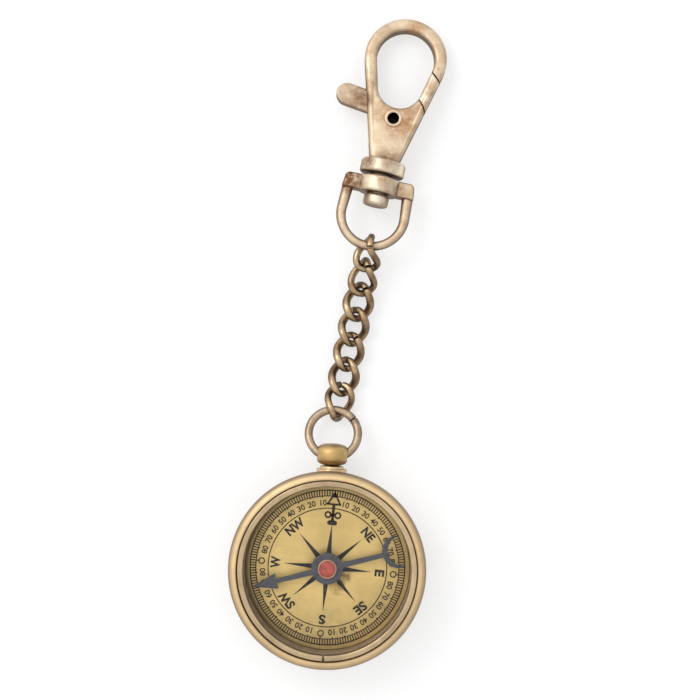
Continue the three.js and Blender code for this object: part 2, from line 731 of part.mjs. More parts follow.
// Gate rivet: a low head behind, and a hollow end rolled over in front
function gateRivet() {
  const face = hookThickness / 2 + seatGap;
  const lip = face + rivetLipHeight;
  return turnedUp([
    [0, -face - rivetHeadHeight],
    [rivetHeadFlat, -face - rivetHeadHeight],
    [rivetHeadRadius, -face],
    [rivetRadius, -face],
    [rivetRadius, face],
    [rivetLipRadius, face],
    [rivetLipRadius, face + rivetLipHeight / 2],
    [rivetRadius, lip],
    [rivetHollowRadius, lip - rivetLipHeight / 2],
    [rivetHollowRadius, lip - rivetHollowDepth],
    [0, lip - rivetHollowDepth],
  ], turnedFacets).translate(0, pivotReach, 0);
}

// Gate spring: a torsion coil round the rivet, one leg down in the body and one across in the lever
function gateSpring() {
  const base = -slotWidth / 2 + springWire / 2 + slideFit;
  const coil = 2 * Math.PI * springTurns * springRadius;
  const whole = springBodyLeg + coil + springLeverLeg;
  const path = new FormulaCurve((t) => {
    const run = t * whole - springBodyLeg;
    const turn = THREE.MathUtils.clamp(run, 0, coil);
    const angle = turn / springRadius;
    const across = springRadius * Math.cos(angle) - Math.max(run - coil, 0);
    const along = springRadius * Math.sin(angle) + Math.min(run, 0);
    return new THREE.Vector3(across, pivotReach + along, base + springPitch * angle / (2 * Math.PI));
  });
  const least = springPitch - springWire;
  console.log(`gate spring: least gap between turns ${least.toFixed(2)} mm`);
  return wireAlong(path, springWire, springSteps, springSides);
}

// Compass
addPiece(root, 'case_body', caseBody(), antiqueBrass);
addPiece(root, 'dial_plate', dialPlate(), dialBrass);
addPiece(root, 'pivot_post', pivotPost(), antiqueBrass);
addPiece(root, 'crystal', crystal(), clearGlass);
addPiece(root, 'crystal_retaining_ring', retainingRing(), antiqueBrass);
addPiece(root, 'pendant_collar', pendantCollar(), antiqueBrass);
addPiece(root, 'pendant_ball', pendantBall(), dialBrass);

const needle = addBody(root, new THREE.Vector3(), 0, -needleTurn * DEGREE);
addPiece(needle, 'needle_blade', needleBlade(), bluedSteel);
addPiece(needle, 'needle_cap', needleCap(), antiqueBrass);
addPiece(needle, 'cap_jewel', capJewel(), coralRed);

// Bow ring, sloping down from the ball to the level of the chain
const bowTilt = -Math.asin((pendantZ - bowLevel) / (bowCentre + bowRadius));
const bow = addBody(root, new THREE.Vector3(0, ballReach, pendantZ), bowTilt);
addPiece(bow, 'bow_ring', bowRing(), antiqueBrass);

// Chain, from the bow up: each link starts at its contact with the one below, and is hinged
// along a wire of that contact, by turns its own end loop's and the lower link's
const pitch = 2 * linkHalfLength - linkWire - linkGap;
function direction(heading, rise) {
  return new THREE.Vector3(
    Math.sin(heading) * Math.cos(rise), Math.cos(heading) * Math.cos(rise), Math.sin(rise));
}

const lean = chainLean * DEGREE;
const contactAngle = bowContactAngle * DEGREE;
const bowPoint = bow.localToWorld(new THREE.Vector3(
  bowRadius * Math.cos(contactAngle), bowCentre + bowRadius * Math.sin(contactAngle), 0));
const eyeHeight = hookCollarRadius + floorGap + eyeReach * Math.sin(claspPitch);
const bowOffset = (bowWire - linkGap) / 2 + endGap;
const eyeOffset = (eyeWire - linkGap) / 2 + endGap;
const wireStep = (linkWire + linkGap) / 2;
let contact = bowPoint.clone().addScaledVector(direction(lean, 0), -bowOffset);
let carrier = bow;
let rise = 0;
let roll = 0;
for (let number = linkCount; number >= 1; number -= 1) {
  const [lowerRise, lowerRoll] = [rise, roll];
  if (number === linkCount) rise = Math.asin((chainLevel - contact.z) / pitch);
  else if (number === 3) rise = thirdSlopeAngle * DEGREE;
  else if (number === 2) rise = secondSlopeAngle * DEGREE;
  else if (number === 1) rise = Math.asin((eyeHeight - contact.z) / (pitch - eyeOffset));
  else rise = 0;
  roll = (number === linkCount ? lastRoll : firstRolls[number - 1] ?? 0) * DEGREE;
  const along = direction(lean, rise);
  let link;
  if (number === linkCount) {
    link = addBody(carrier, bowPoint, rise, lean);
  } else if (number % 2 === 0) {
    const ownWire = contact.clone().addScaledVector(along, -wireStep);
    link = addBody(carrier, ownWire, rise, lean, roll - linkTwist * DEGREE);
  } else {
    const lowerWire = contact.clone().addScaledVector(direction(lean, lowerRise), wireStep);
    link = addBody(carrier, lowerWire, lowerRise, lean, lowerRoll + linkTwist * DEGREE);
  }
  const piece = addPiece(root, `chain_link_${number}`, chainLink(seamPlaces[number - 1]), darkBronze);
  piece.position.copy(contact).addScaledVector(along, pitch / 2);
  aim(piece, rise, lean, roll);
  link.attach(piece);
  contact = contact.clone().addScaledVector(along, pitch);
  carrier = link;
}

// Clasp: the eye hangs in the first link, and the hook turns in the eye
const eyePoint = contact.clone().addScaledVector(direction(lean, rise), -eyeOffset);
const claspHeading = claspLean * DEGREE;
const eye = addBody(carrier, eyePoint, -claspPitch, claspHeading);
const eyeAngle = eyeContactAngle * DEGREE;
const eyeFromContact = new THREE.Vector3(
  -eyeHalfWidth * Math.sin(eyeAngle), eyeHalfWidth * Math.cos(eyeAngle) - eyeRoundCentre, 0);
addPiece(eye, 'swivel_eye', swivelEye(), paleGold).position.copy(eyeFromContact);
const collarPoint = eye.localToWorld(eyeFromContact.clone());
const hook = addBody(eye, collarPoint, -claspPitch, claspHeading);
addPiece(hook, 'hook_body', hookBody(), paleGold);
addPiece(hook, 'gate_rivet', gateRivet(), paleGold);
addPiece(hook, 'gate_spring', gateSpring(), springSteel);
const rivetPoint = hook.localToWorld(new THREE.Vector3(0, pivotReach, 0));
const gate = addBody(hook, rivetPoint, -claspPitch, claspHeading);
addPiece(gate, 'gate_lever', gateLever().translate(0, -pivotReach, 0), paleGold);

export default root;
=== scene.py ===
import json
import math

import bmesh
import bpy
from bpy.props import FloatProperty, FloatVectorProperty, IntProperty, PointerProperty
from mathutils import Matrix, Vector


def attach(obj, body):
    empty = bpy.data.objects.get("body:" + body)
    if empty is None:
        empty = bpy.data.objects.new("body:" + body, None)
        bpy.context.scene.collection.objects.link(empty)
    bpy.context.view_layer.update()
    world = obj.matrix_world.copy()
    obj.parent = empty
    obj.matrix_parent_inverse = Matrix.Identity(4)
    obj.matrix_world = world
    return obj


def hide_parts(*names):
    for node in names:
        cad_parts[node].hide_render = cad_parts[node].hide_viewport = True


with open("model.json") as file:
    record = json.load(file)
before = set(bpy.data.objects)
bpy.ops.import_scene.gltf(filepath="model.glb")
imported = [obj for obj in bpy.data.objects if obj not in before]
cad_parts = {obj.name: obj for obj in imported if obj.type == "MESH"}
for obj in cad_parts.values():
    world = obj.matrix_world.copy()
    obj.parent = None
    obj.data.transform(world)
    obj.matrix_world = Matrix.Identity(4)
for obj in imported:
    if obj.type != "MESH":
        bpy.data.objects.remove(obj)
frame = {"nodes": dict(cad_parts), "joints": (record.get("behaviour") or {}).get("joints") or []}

bl_info = {
    "name": "Compass Keychain",
    "version": (1, 0, 0),
    "blender": (4, 5, 0),
    "location": "3D View > Sidebar > Keychain",
    "description": "Brass pocket compass with a bow ring, a curb chain and a swivel clasp",
    "category": "Add Mesh",
}

MM = 0.001
DEGREE = math.pi / 180
TURN = 2 * math.pi


# Settings

def length(name, description, millimetres):
    return FloatProperty(name=name, description=description, default=millimetres * MM,
                         unit="LENGTH", subtype="DISTANCE", precision=5)


def angle(name, description, degrees):
    return FloatProperty(name=name, description=description, default=degrees * DEGREE, subtype="ANGLE")


def ratio(name, description, value):
    return FloatProperty(name=name, description=description, default=value, min=0.0)


def colour(name, description, red, green, blue):
    """A colour picked as it looks on a screen, kept as the linear values that shaders use."""
    screen = (red / 255, green / 255, blue / 255)
    linear = [c / 12.92 if c <= 0.04045 else ((c + 0.055) / 1.055) ** 2.4 for c in screen]
    return FloatVectorProperty(name=name, description=description, default=linear,
                               subtype="COLOR", size=3, min=0.0, max=1.0)


class CaseSettings(bpy.types.PropertyGroup):
    radius: length("Radius", "Outside radius of the rim", 19)
    height: length("Height", "From the flat back to the top of the rim", 11.2)
    back_round: length("Back round", "Round from the side wall to the back", 1.7)
    rim_overhang: length("Rim overhang", "Rim beyond the side wall", 0.7)
    rim_height: length("Rim height", "Height of the rim above its slope", 2.4)
    rim_step: length("Rim step", "Height of the slope from the side wall to the rim", 0.5)
    rim_land: length("Rim land", "Flat left on top of the rim beside the mouth", 0.2)
    rim_width: length("Rim width", "From the outside to the bore for the glass", 1.6)
    shoulder_width: length("Shoulder width", "Seat of the glass", 1.4)
    ledge_width: length("Ledge width", "Seat of the dial", 1.7)
    base: length("Base", "Thickness of the back", 1.8)
    boss_radius: length("Boss radius", "Boss that holds the pivot post", 2.2)
    boss_floor: length("Boss floor", "Metal left under the post", 0.8)
    glass_thickness: length("Glass thickness", "Thickness of the crystal", 1.2)
    glass_chamfer: length("Glass chamfer", "Bevel round the crystal", 0.25)
    ring_width: length("Ring width", "Width of the retaining ring", 1.2)
    ring_height: length("Ring height", "Height of the retaining ring", 0.9)
    ring_sink: length("Ring sink", "Top of the retaining ring below the rim", 0.3)
    ring_split: length("Ring split", "Gap between the retaining ring's ends", 0.45)
    needle_room: length("Needle room", "From the dial to the glass", 3.5)
    seat: length("Seat gap", "Gap between flat faces that rest on each other", 0.05)
    slide: length("Slide fit", "Radial play of pieces pressed in a hole", 0.12)
    brass: colour("Brass", "Turned brass of the case", 243, 212, 162)
    brass_shade: colour("Brass shade", "Duller patches of the case", 211, 186, 148)
    # Painted shade: the colour that the steep sides of the case and of the pendant's flange are darkened to;
    # also the wall's darker patches.
    brass_side: colour("Brass side", "Side of the case", 152, 132, 112)
    # Painted shade: a darker, greyer copy of the brass for the wall round the dial, which lies in shade.
    wall_brass: colour("Wall brass", "Dull brass of the wall round the dial", 150, 130, 105)
    # Brown of tarnished corners and grooves, also used as painted shade in hollows and on steep sides
    tarnish: colour("Tarnish", "Brown left in corners and grooves", 62, 44, 26)


class DialSettings(bpy.types.PropertyGroup):
    thickness: length("Thickness", "Thickness of the dial plate", 0.6)
    turn: angle("Turn", "Printed north, clockwise from the pendant", 3.5)
    ticks: IntProperty(name="Ticks", description="Marks round the scale", default=180, min=4)
    scale_radius: length("Scale radius", "Outer end of the scale's marks", 15.0)
    tick_length: length("Tick length", "Length of a mark of the scale", 1.13)
    tick_width: length("Tick width", "Width of a mark of the scale", 0.22)
    figure_radius: length("Figure radius", "Middle of the scale's figures", 12.6)
    figure_height: length("Figure height", "Height of the scale's figures", 1.08)
    circle_radius: length("Circle radius", "Thin circle inside the figures", 11.5)
    letter_radius: length("Letter radius", "Middle of the points' letters", 10.15)
    letter_height: length("Letter height", "Height of the points' letters", 1.7)
    ray_reach: length("Ray reach", "Tips of the rose's rays", 8.5)
    ray_width: length("Ray width", "Width of a ray at the hub", 0.95)
    ink_height: length("Ink height", "Thickness of the print", 0.012)
    brass: colour("Dial brass", "Brushed brass of the dial", 225, 195, 131)
    brass_shade: colour("Dial shade", "Duller patches of the dial", 196, 168, 107)
    # Greyer, darker brass spread towards the south and the east of the dial.
    dull: colour("Dull brass", "Greyer brass towards the south", 146, 130, 94)
    # Painted shadow on the dial's west edge, beyond the scale.
    margin: colour("Margin", "Shaded edge of the dial beyond its scale", 110, 94, 70)
    stain: colour("Stain", "Brown spots near the hub", 96, 58, 26)
    ink: colour("Ink", "Print of the scale and the rose", 24, 19, 14)


class NeedleSettings(bpy.types.PropertyGroup):
    turn: angle("Turn", "Arrow at rest, anticlockwise from the pendant", 106)
    lift: length("Lift", "Blade above the dial", 1.6)
    thickness: length("Thickness", "Thickness of the blade", 0.35)
    hub_radius: length("Hub radius", "Round middle of the blade", 3.05)
    arrow_gap: length("Arrow gap", "From the arrow's tip to the wall", 1.1)
    arrow_length: length("Arrow length", "Length of the arrow's head", 4.9)
    arrow_half_width: length("Arrow half width", "Half the width of the arrow's head", 1.52)
    barb: length("Barb", "How far the barbs sweep back", 0.12)
    shaft_half_width: length("Shaft half width", "Half the width of the shaft at its ends", 0.44)
    root_half_width: length("Root half width", "Half the width of the shaft at the hub", 0.58)
    crescent_gap: length("Crescent gap", "From the crescent's middle to the wall", 1.85)
    crescent_radius: length("Crescent radius", "Outer radius of the crescent", 3.15)
    crescent_thickness: length("Crescent thickness", "Widest part of the crescent", 1.1)
    horn_half_span: length("Horn half span", "Half the distance between the horns", 3.0)
    cap_radius: length("Cap radius", "Rim of the brass cap", 1.8)
    cap_height: length("Cap height", "Height of the cap's rim", 0.65)
    sleeve_radius: length("Sleeve radius", "Sleeve through the blade", 1.2)
    sleeve_depth: length("Sleeve depth", "Sleeve below the blade", 0.6)
    cup_radius: length("Cup radius", "Mouth of the cup that sits on the pin", 0.7)
    jewel_radius: length("Jewel radius", "Red fill in the cap", 1.5)
    jewel_depth: length("Jewel depth", "Depth of the fill", 0.35)
    jewel_crown: length("Jewel crown", "Fill above the cap's rim", 0.15)
    post_radius: length("Post radius", "Pivot post in the boss", 0.85)
    post_stand: length("Post stand", "Post above the dial", 0.4)
    pin_radius: length("Pin radius", "Pin on the post", 0.45)
    pin_taper: length("Pin taper", "Length of the pin's point", 1.1)
    tip_gap: length("Tip gap", "From the pin's point to the cup", 0.15)
    steel: colour("Steel", "Dulled blue of the needle", 86, 87, 92)
    steel_shade: colour("Steel shade", "Darker specks of the needle", 62, 62, 66)
    jewel: colour("Jewel", "Red fill of the cap", 198, 90, 76)
    jewel_shade: colour("Jewel shade", "Darker patches of the fill", 124, 46, 40)


class PendantSettings(bpy.types.PropertyGroup):
    collar_radius: length("Collar radius", "Flange against the case", 2.9)
    neck_radius: length("Neck radius", "Step between flange and ball", 2.3)
    collar_stand: length("Collar stand", "Face of the flange beyond the rim", 0.2)
    neck_height: length("Neck height", "Height of the step", 0.55)
    clearance: length("Clearance", "Flange below the rim's slope", 0.2)
    ball_radius: length("Ball radius", "Radius of the flattened ball", 3.3)
    ball_height: length("Ball height", "Height of the ball along the pendant", 4.3)
    ball_squareness: ratio("Ball squareness", "Exponent of the ball's profile", 2.8)
    ball_mouth: length("Ball mouth", "From the axis to the mouths of the cross hole", 2.85)
    shank_radius: length("Shank radius", "Shank in the case wall", 1.2)
    shank_depth: length("Shank depth", "Shank inside the case wall", 1.5)
    bow_radius: length("Bow radius", "To the middle of the ring's wire", 4.8)
    bow_wire: length("Bow wire", "Wire of the ring", 1.65)
    bow_fit: length("Bow fit", "Play of the ring in the ball", 0.15)
    bow_seam: angle("Bow seam", "Where the ring's ends meet", 38)
    bow_seam_gap: length("Bow seam gap", "Gap between the ring's ends", 0.14)
    bow_contact: angle("Bow contact", "Where the chain pulls on the ring", 83)
    ball_brass: colour("Ball brass", "Satin brass of the ball", 216, 183, 124)
    ball_shade: colour("Ball shade", "Duller patches of the ball", 180, 149, 98)
    bow_brass: colour("Bow brass", "Dulled brass of the ring", 206, 183, 155)
    bow_shade: colour("Bow shade", "Browner patches of the ring", 162, 139, 115)


class ChainSettings(bpy.types.PropertyGroup):
    links: IntProperty(name="Links", description="Links from the bow to the eye", default=7, min=1)
    wire: length("Wire", "Wire of the links", 1.4)
    width_ratio: ratio("Width ratio", "Half width to the middle of the wire, in wires", 1.68)
    length_ratio: ratio("Length ratio", "Half length to the middle of the wire, in wires", 2.393)
    squareness: ratio("Squareness", "Exponent of the link's oval", 2.4)
    twist: angle("Twist", "Turn of each end loop out of the link's plane", 46)
    seam_gap: length("Seam gap", "Gap between a link's ends", 0.35)
    slack: length("Slack", "Slack between two links", 0.3)
    end_slack: length("End slack", "Slack of the end links", 0.12)
    level_ratio: ratio("Level ratio", "Middle of the flat links above the table, in wires", 1.415)
    bow_lift: length("Bow lift", "Far wire of the bow above the flat links", 0.47)
    lean: angle("Lean", "Heading of the chain, from the pendant towards the right", 8.6)
    third_slope: angle("Third slope", "Third link from the clasp", 3)
    second_slope: angle("Second slope", "Second link from the clasp", 18.5)
    bronze: colour("Bronze", "Dark bronze of the links", 216, 189, 150)
    bronze_shade: colour("Bronze shade", "Red-brown patches of the links", 124, 90, 68)


class ClaspSettings(bpy.types.PropertyGroup):
    lean: angle("Lean", "Heading of the clasp, from the pendant towards the right", 9.5)
    eye_wire: length("Eye wire", "Wire of the eye", 1.75)
    eye_half_width: length("Eye half width", "To the middle of the wire", 6.2)
    ear_half_width: length("Ear half width", "Middle of the wire at the ears", 5.85)
    arm_length: length("Arm length", "From the ears to the round end", 5)
    bar_height: length("Bar height", "Height of the ears and the boss", 3.1)
    bar_thickness: length("Bar thickness", "Thickness of the ears", 3)
    boss_radius: length("Boss radius", "Boss in which the hook turns", 4.05)
    ear_round: length("Ear round", "Outer corners of the ears", 1)
    thickness: length("Thickness", "Thickness of the hook", 5.2)
    loop_thickness: length("Loop thickness", "Thickness at the tip of the loop", 3.2)
    edge_round: length("Edge round", "Rounding of the hook's edges", 0.85)
    loop_radius: length("Loop radius", "Outside of the loop", 8)
    loop_bar: length("Loop bar", "Width of the bar round the loop", 2.35)
    loop_reach: length("Loop reach", "From the collar to the middle of the loop", 22)
    heel_radius: length("Heel radius", "Outside of the heel", 3)
    heel_reach: length("Heel reach", "From the collar to the middle of the heel", 2.2)
    throat_taper: length("Throat taper", "Opening's radius less at the throat", 1.35)
    throat_drop: length("Throat drop", "From the middle of the loop to the throat", 5.8)
    collar_radius: length("Collar radius", "Round collar of the hook", 4.35)
    collar_height: length("Collar height", "Height of the collar", 2.7)
    swivel_gap: length("Swivel gap", "Between the collar and the boss", 0.65)
    stem_radius: length("Stem radius", "Stem through the boss", 1.7)
    head_radius: length("Head radius", "Peened head of the stem", 2.45)
    head_height: length("Head height", "Height of that head", 2.2)
    run: length("Run fit", "Radial play of pieces that turn", 0.2)
    pivot_drop: length("Pivot drop", "From the opening to the rivet", 2.3)
    lever_thickness: length("Lever thickness", "Arm and tab of the gate", 2.4)
    lever_hub: length("Lever hub", "Round of the lever about the rivet", 2.1)
    side: length("Side fit", "Play on each side of the lever", 0.3)
    gate_root: length("Gate root", "Shoulder of the hook, round the rivet", 6.1)
    gate_gap: length("Gate gap", "Gap at the ends of the gate", 0.3)
    nose_inner_drop: length("Nose inner drop", "Inner end of the cut at the nose", 1.55)
    nose_outer_drop: length("Nose outer drop", "Outer end of the cut at the nose", 3.82)
    arm_angle: angle("Arm angle", "Heading of the arm from the rivet to the gate", 34)
    arm_reach: length("Arm reach", "From the rivet to the arm's end", 6.6)
    arm_root: length("Arm root", "Radius of the arm at the rivet", 1.9)
    arm_tip: length("Arm tip", "Radius of the arm at its end", 0.5)
    tab_root_reach: length("Tab root reach", "Sideways from the rivet to the tab's root", 5.2)
    tab_root_height: length("Tab root height", "Tab's root above the rivet", 2.75)
    tab_neck: length("Tab neck", "Radius of the neck at the tab's root", 1.2)
    tab_reach: length("Tab reach", "Sideways from the rivet to the tab's end", 9.8)
    tab_height: length("Tab height", "Tab's end above the rivet", 3.4)
    tab_radius: length("Tab radius", "Round end of the tab", 2.1)
    rivet_radius: length("Rivet radius", "Shank of the rivet", 1.35)
    rivet_lip: length("Rivet lip", "Rolled lip of the rivet", 1.7)
    rivet_hollow: length("Rivet hollow", "Hollow end of the rivet", 1.1)
    spring_wire: length("Spring wire", "Wire of the gate's spring", 0.35)
    gold: colour("Gold", "Pale gold plating", 232, 212, 183)
    gold_shade: colour("Gold shade", "Browner patches of the plating", 193, 164, 133)
    collar_gold: colour("Collar gold", "Paler plating of the collar and the boss", 250, 236, 213)
    rust: colour("Rust", "Orange-brown halo round the rivet", 176, 116, 64)
    # Brown oxide of the clasp, also used as painted shade in its corners and on the sides of the collar, the
    # boss and the stem's head.
    patina: colour("Patina", "Brown left in corners", 116, 74, 50)
    # Painted shade: dark brown that the clasp's sideways faces are darkened to.
    edge_brown: colour("Edge brown", "Dark brown left on the sides of the clasp", 92, 64, 42)


class StageSettings(bpy.types.PropertyGroup):
    camera_height: length("Camera height", "Camera above the table", 310)
    camera_across: length("Camera across", "Camera from the case, towards the right", 2.54)
    camera_along: length("Camera along", "Camera from the case, towards the clasp", 42.39)
    camera_turn: angle("Camera turn", "Turn of the picture", 2.5)
    lens: FloatProperty(name="Lens", description="Focal length of the camera in millimetres",
                        default=80.67, subtype="DISTANCE_CAMERA")
    key: FloatProperty(name="Key light", description="Power of the large lamp", default=1.4, unit="POWER")
    sky: ratio("Sky", "Strength of the light from all round", 0.9)
    floor: colour("Floor", "Plain floor", 182, 182, 182)
    floor_glow: colour("Floor glow", "White that the floor shows and does not cast", 199, 199, 199)


# Shapes

UP = Vector((0, 0, 1))
ALONG = Matrix.Rotation(-math.pi / 2, 4, "X")
ON_AXIS = 1e-7
SLIVER = 0.01 * MM
FINE_SIDES, DISC_SIDES, ROD_SIDES, PIN_SIDES, SMALL_SIDES = 192, 160, 96, 64, 28


def circle(radius, sides, centre=(0, 0)):
    """Points (x, y) round a circle."""
    turns = [TURN * k / sides for k in range(sides)]
    return [(centre[0] + radius * math.cos(a), centre[1] + radius * math.sin(a)) for a in turns]


def arc(centre, radius, start, sweep, steps):
    """Points along an arc, both its ends among them."""
    turns = [start + sweep * k / steps for k in range(steps + 1)]
    return [centre + Vector((math.cos(a), math.sin(a))) * radius for a in turns]


def quarter_turn(steps):
    return [k / steps * math.pi / 2 for k in range(steps + 1)]


def round_from(seam, gap, steps):
    """Angles once round a ring, from one side of its seam to the other."""
    return [seam + gap / 2 + (TURN - gap) * k / steps for k in range(steps + 1)]


def bulged(wave, power):
    """A sine or cosine pushed out towards the corners of a square, with its sign."""
    return math.copysign(abs(wave) ** power, wave)


def filleted(corners, steps=6):
    """A line through corners given as (across, along, round), with an arc at each rounded corner."""
    line = []
    for i, (across, along, radius) in enumerate(corners):
        here = Vector((across, along))
        if radius == 0 or i in (0, len(corners) - 1):
            line.append(here)
            continue
        back = (Vector(corners[i - 1][:2]) - here).normalized()
        ahead = (Vector(corners[i + 1][:2]) - here).normalized()
        half = back.angle(ahead) / 2
        centre = here + (back + ahead).normalized() * (radius / math.sin(half))
        start = here + back * (radius / math.tan(half)) - centre
        end = here + ahead * (radius / math.tan(half)) - centre
        sweep = math.copysign(math.pi - 2 * half, start.x * end.y - start.y * end.x)
        line += arc(centre, radius, math.atan2(start.y, start.x), sweep, steps)
    return line


def new_mesh(points, faces, place=None, outward=True):
    """A mesh put where it belongs, its faces turned outward."""
    mesh = bpy.data.meshes.new("mesh")
    mesh.from_pydata([tuple(p) for p in points], [], faces)
    if outward:
        work = bmesh.new()
        work.from_mesh(mesh)
        bmesh.ops.recalc_face_normals(work, faces=work.faces)
        work.to_mesh(mesh)
        work.free()
    if place is not None:
        mesh.transform(place)
    return mesh


def skinned(loops, closed=False, capped=False):
    """Points and faces of a skin over loops of points. A loop of one point is a tip."""
    points, rows, faces = [], [], []
    count = max(len(loop) for loop in loops)
    for loop in loops:
        first = len(points)
        points += loop
        rows.append([first] * count if len(loop) == 1 else list(range(first, first + count)))
    for low, high in zip(rows, rows[1:] + rows[:1] if closed else rows[1:]):
        for k in range(count):
            n = (k + 1) % count
            face = tuple(dict.fromkeys((low[k], low[n], high[n], high[k])))
            if len(face) > 2:
                faces.append(face)
    if capped:
        faces += [tuple(rows[0]), tuple(rows[-1])]
    return points, faces


def gathered(parts):
    """Points and faces of several parts as those of one mesh."""
    points, faces = [], []
    for more_points, more_faces in parts:
        first = len(points)
        points += more_points
        faces += [tuple(first + i for i in face) for face in more_faces]
    return points, faces


def turned(profile, place=None, sides=128, closed=False):
    """A profile of (radius, height) points turned round +Z."""
    loops = [[(0, 0, height)] if radius < ON_AXIS else [(*p, height) for p in circle(radius, sides)]
             for radius, height in profile]
    return new_mesh(*skinned(loops, closed), place)


def bent(path, section, place=None, end_round=0.0, girth=None):
    """A section of (across, up) points carried along a path, with rounded ends."""
    last, reach = len(path) - 1, max(p.length for p in section)
    up, stations = UP, []
    for i, spot in enumerate(path):
        ahead = (path[min(i + 1, last)] - path[max(i - 1, 0)]).normalized()
        up = (up - ahead * up.dot(ahead)).normalized()
        stations.append((spot, ahead, ahead.cross(up), up, girth(i / last) if girth else 1.0))
    if end_round:
        for end, inward in ((0, 1), (-1, -1)):
            spot, ahead, side, up, full = stations[end]
            rim = [(spot + ahead * inward * end_round * (1 - math.sin(a)), ahead, side, up,
                    full * (1 - end_round / reach * (1 - math.cos(a)))) for a in quarter_turn(4)]
            stations = rim[::-1] + stations[1:] if end == 0 else stations[:-1] + rim
    loops = [[spot + (side * p.x + up * p.y) * full for p in section]
             for spot, _, side, up, full in stations]
    return new_mesh(*skinned(loops, capped=True), place)


def wire(path, thickness, sides, place=None, end_round=0.0, girth=None):
    """Round wire along a path."""
    return bent(path, [Vector(p) for p in circle(thickness / 2, sides)], place, end_round, girth)


def two_circles(near, near_radius, far, far_radius, inset=0.0, steps=24, straight=8):
    """The outline round two circles joined by their outer tangents, drawn in by an inset."""
    along = math.atan2(far.y - near.y, far.x - near.x)
    spread = math.acos((near_radius - far_radius) / (far - near).length)
    first = arc(far, far_radius - inset, along - spread, 2 * spread, steps)
    second = arc(near, near_radius - inset, along + spread, TURN - 2 * spread, steps)
    line = []
    for part, ahead in ((first, second), (second, first)):
        line += part
        line += [part[-1].lerp(ahead[0], k / straight) for k in range(1, straight)]
    return line


def plate(outline, thickness, edge=0.0, hole=None):
    """A plate about z = 0. Its outline and its hole are functions of how far they are drawn in."""
    top = [(thickness / 2, 0.0)]
    if edge:
        top = [(thickness / 2 - edge + edge * math.sin(a), edge * (1 - math.cos(a)))
               for a in quarter_turn(6)]
    layers = [(-z, inset) for z, inset in top[::-1]] + top
    loops = [[(p.x, p.y, z) for p in outline(inset)] for z, inset in layers]
    if hole:
        loops += [[(p.x, p.y, z) for p in hole(-inset)] for z, inset in layers[::-1]]
    return new_mesh(*skinned(loops, closed=bool(hole), capped=not hole))


def prism(outline, thickness):
    return plate(lambda inset: outline, thickness)


def strap(near, near_radius, far, far_radius, thickness, edge=0.0, steps=24, straight=8):
    """A plate with the outline round two circles."""
    return plate(lambda inset: two_circles(near, near_radius, far, far_radius, inset, steps, straight),
                 thickness, edge)


def rod(radius, low, high, place=None, edge=0.0, sides=ROD_SIDES):
    """A round bar along +Z with rounded ends."""
    profile = filleted([(0, low, 0), (radius, low, edge), (radius, high, edge), (0, high, 0)])
    return turned(profile, place, sides)


def placed(name, data):
    """An object put in the scene."""
    made = bpy.data.objects.new(name, data)
    bpy.context.scene.collection.objects.link(made)
    return made


def as_mesh(item):
    return bpy.data.meshes.new_from_object(item.evaluated_get(bpy.context.evaluated_depsgraph_get()))


def combined(operation, mesh, *others):
    """The mesh joined with (UNION), cut by (DIFFERENCE) or kept inside (INTERSECT) the others."""
    for other in others:
        base, tool = placed("base", mesh), placed("tool", other)
        step = base.modifiers.new("step", "BOOLEAN")
        step.operation, step.object, step.solver = operation, tool, "EXACT"
        result = as_mesh(base)
        for item in (base, tool):
            bpy.data.objects.remove(item)
        for used in (mesh, other):
            bpy.data.meshes.remove(used)
        mesh = result
    if not mesh.polygons:
        raise RuntimeError("nothing is left of a piece after " + operation)
    return mesh


def coat(mesh, finish):
    mesh.materials.clear()
    mesh.materials.append(finish)


def show(name, mesh, body, finish, node=None, crease=38):
    """Puts a piece on the body it moves with, in place of the CAD node that it stands for."""
    mesh.name = name
    mesh.shade_smooth()
    mesh.set_sharp_from_angle(angle=crease * DEGREE)
    coat(mesh, finish)
    piece = placed(name, mesh)
    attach(piece, body)
    if node:
        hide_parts(node)
        coat(frame["nodes"][node].data, finish)
    return piece


def lined(piece, finish, inside):
    """Gives a second finish to the faces whose middle passes a test."""
    piece.data.materials.append(finish)
    for face in piece.data.polygons:
        if inside(face.center):
            face.material_index = 1


def weigh_normals(piece):
    """Flat faces keep flat shading beside rounded edges."""
    step = piece.modifiers.new("weighted normals", "WEIGHTED_NORMAL")
    step.keep_sharp = True
    return piece


def aimed(place, rise=0.0, heading=0.0, roll=0.0):
    """Where a piece that lies along +Y goes: its slope, its heading towards +X and its roll."""
    return (Matrix.Translation(place) @ Matrix.Rotation(-heading, 4, "Z")
            @ Matrix.Rotation(rise, 4, "X") @ Matrix.Rotation(-roll, 4, "Y"))


# Finishes

MIX_SHARE, MIX_FIRST, MIX_SECOND, MIX_RESULT = 0, 6, 7, 2
CLOUD = (0.3, 0.7)


def add(tree, kind, sockets=None, **settings):
    """A node with its settings, and a value or another node's output for each named socket."""
    made = tree.nodes.new(kind)
    for key, value in settings.items():
        setattr(made, key, value)
    for key, value in (sockets or {}).items():
        put(tree, made.inputs[key], value)
    return made


def put(tree, socket, value):
    if isinstance(value, bpy.types.NodeSocket):
        tree.links.new(value, socket)
    else:
        socket.default_value = value


def opaque(tint):
    """A colour as a socket takes it. Another node's output stays as it is."""
    return tint if isinstance(tint, bpy.types.NodeSocket) else (*tint, 1.0)


def mixed(tree, share, first, second):
    """First colour towards the second by a share."""
    sockets = {MIX_SHARE: share, MIX_FIRST: opaque(first), MIX_SECOND: opaque(second)}
    return add(tree, "ShaderNodeMix", sockets, data_type="RGBA").outputs[MIX_RESULT]


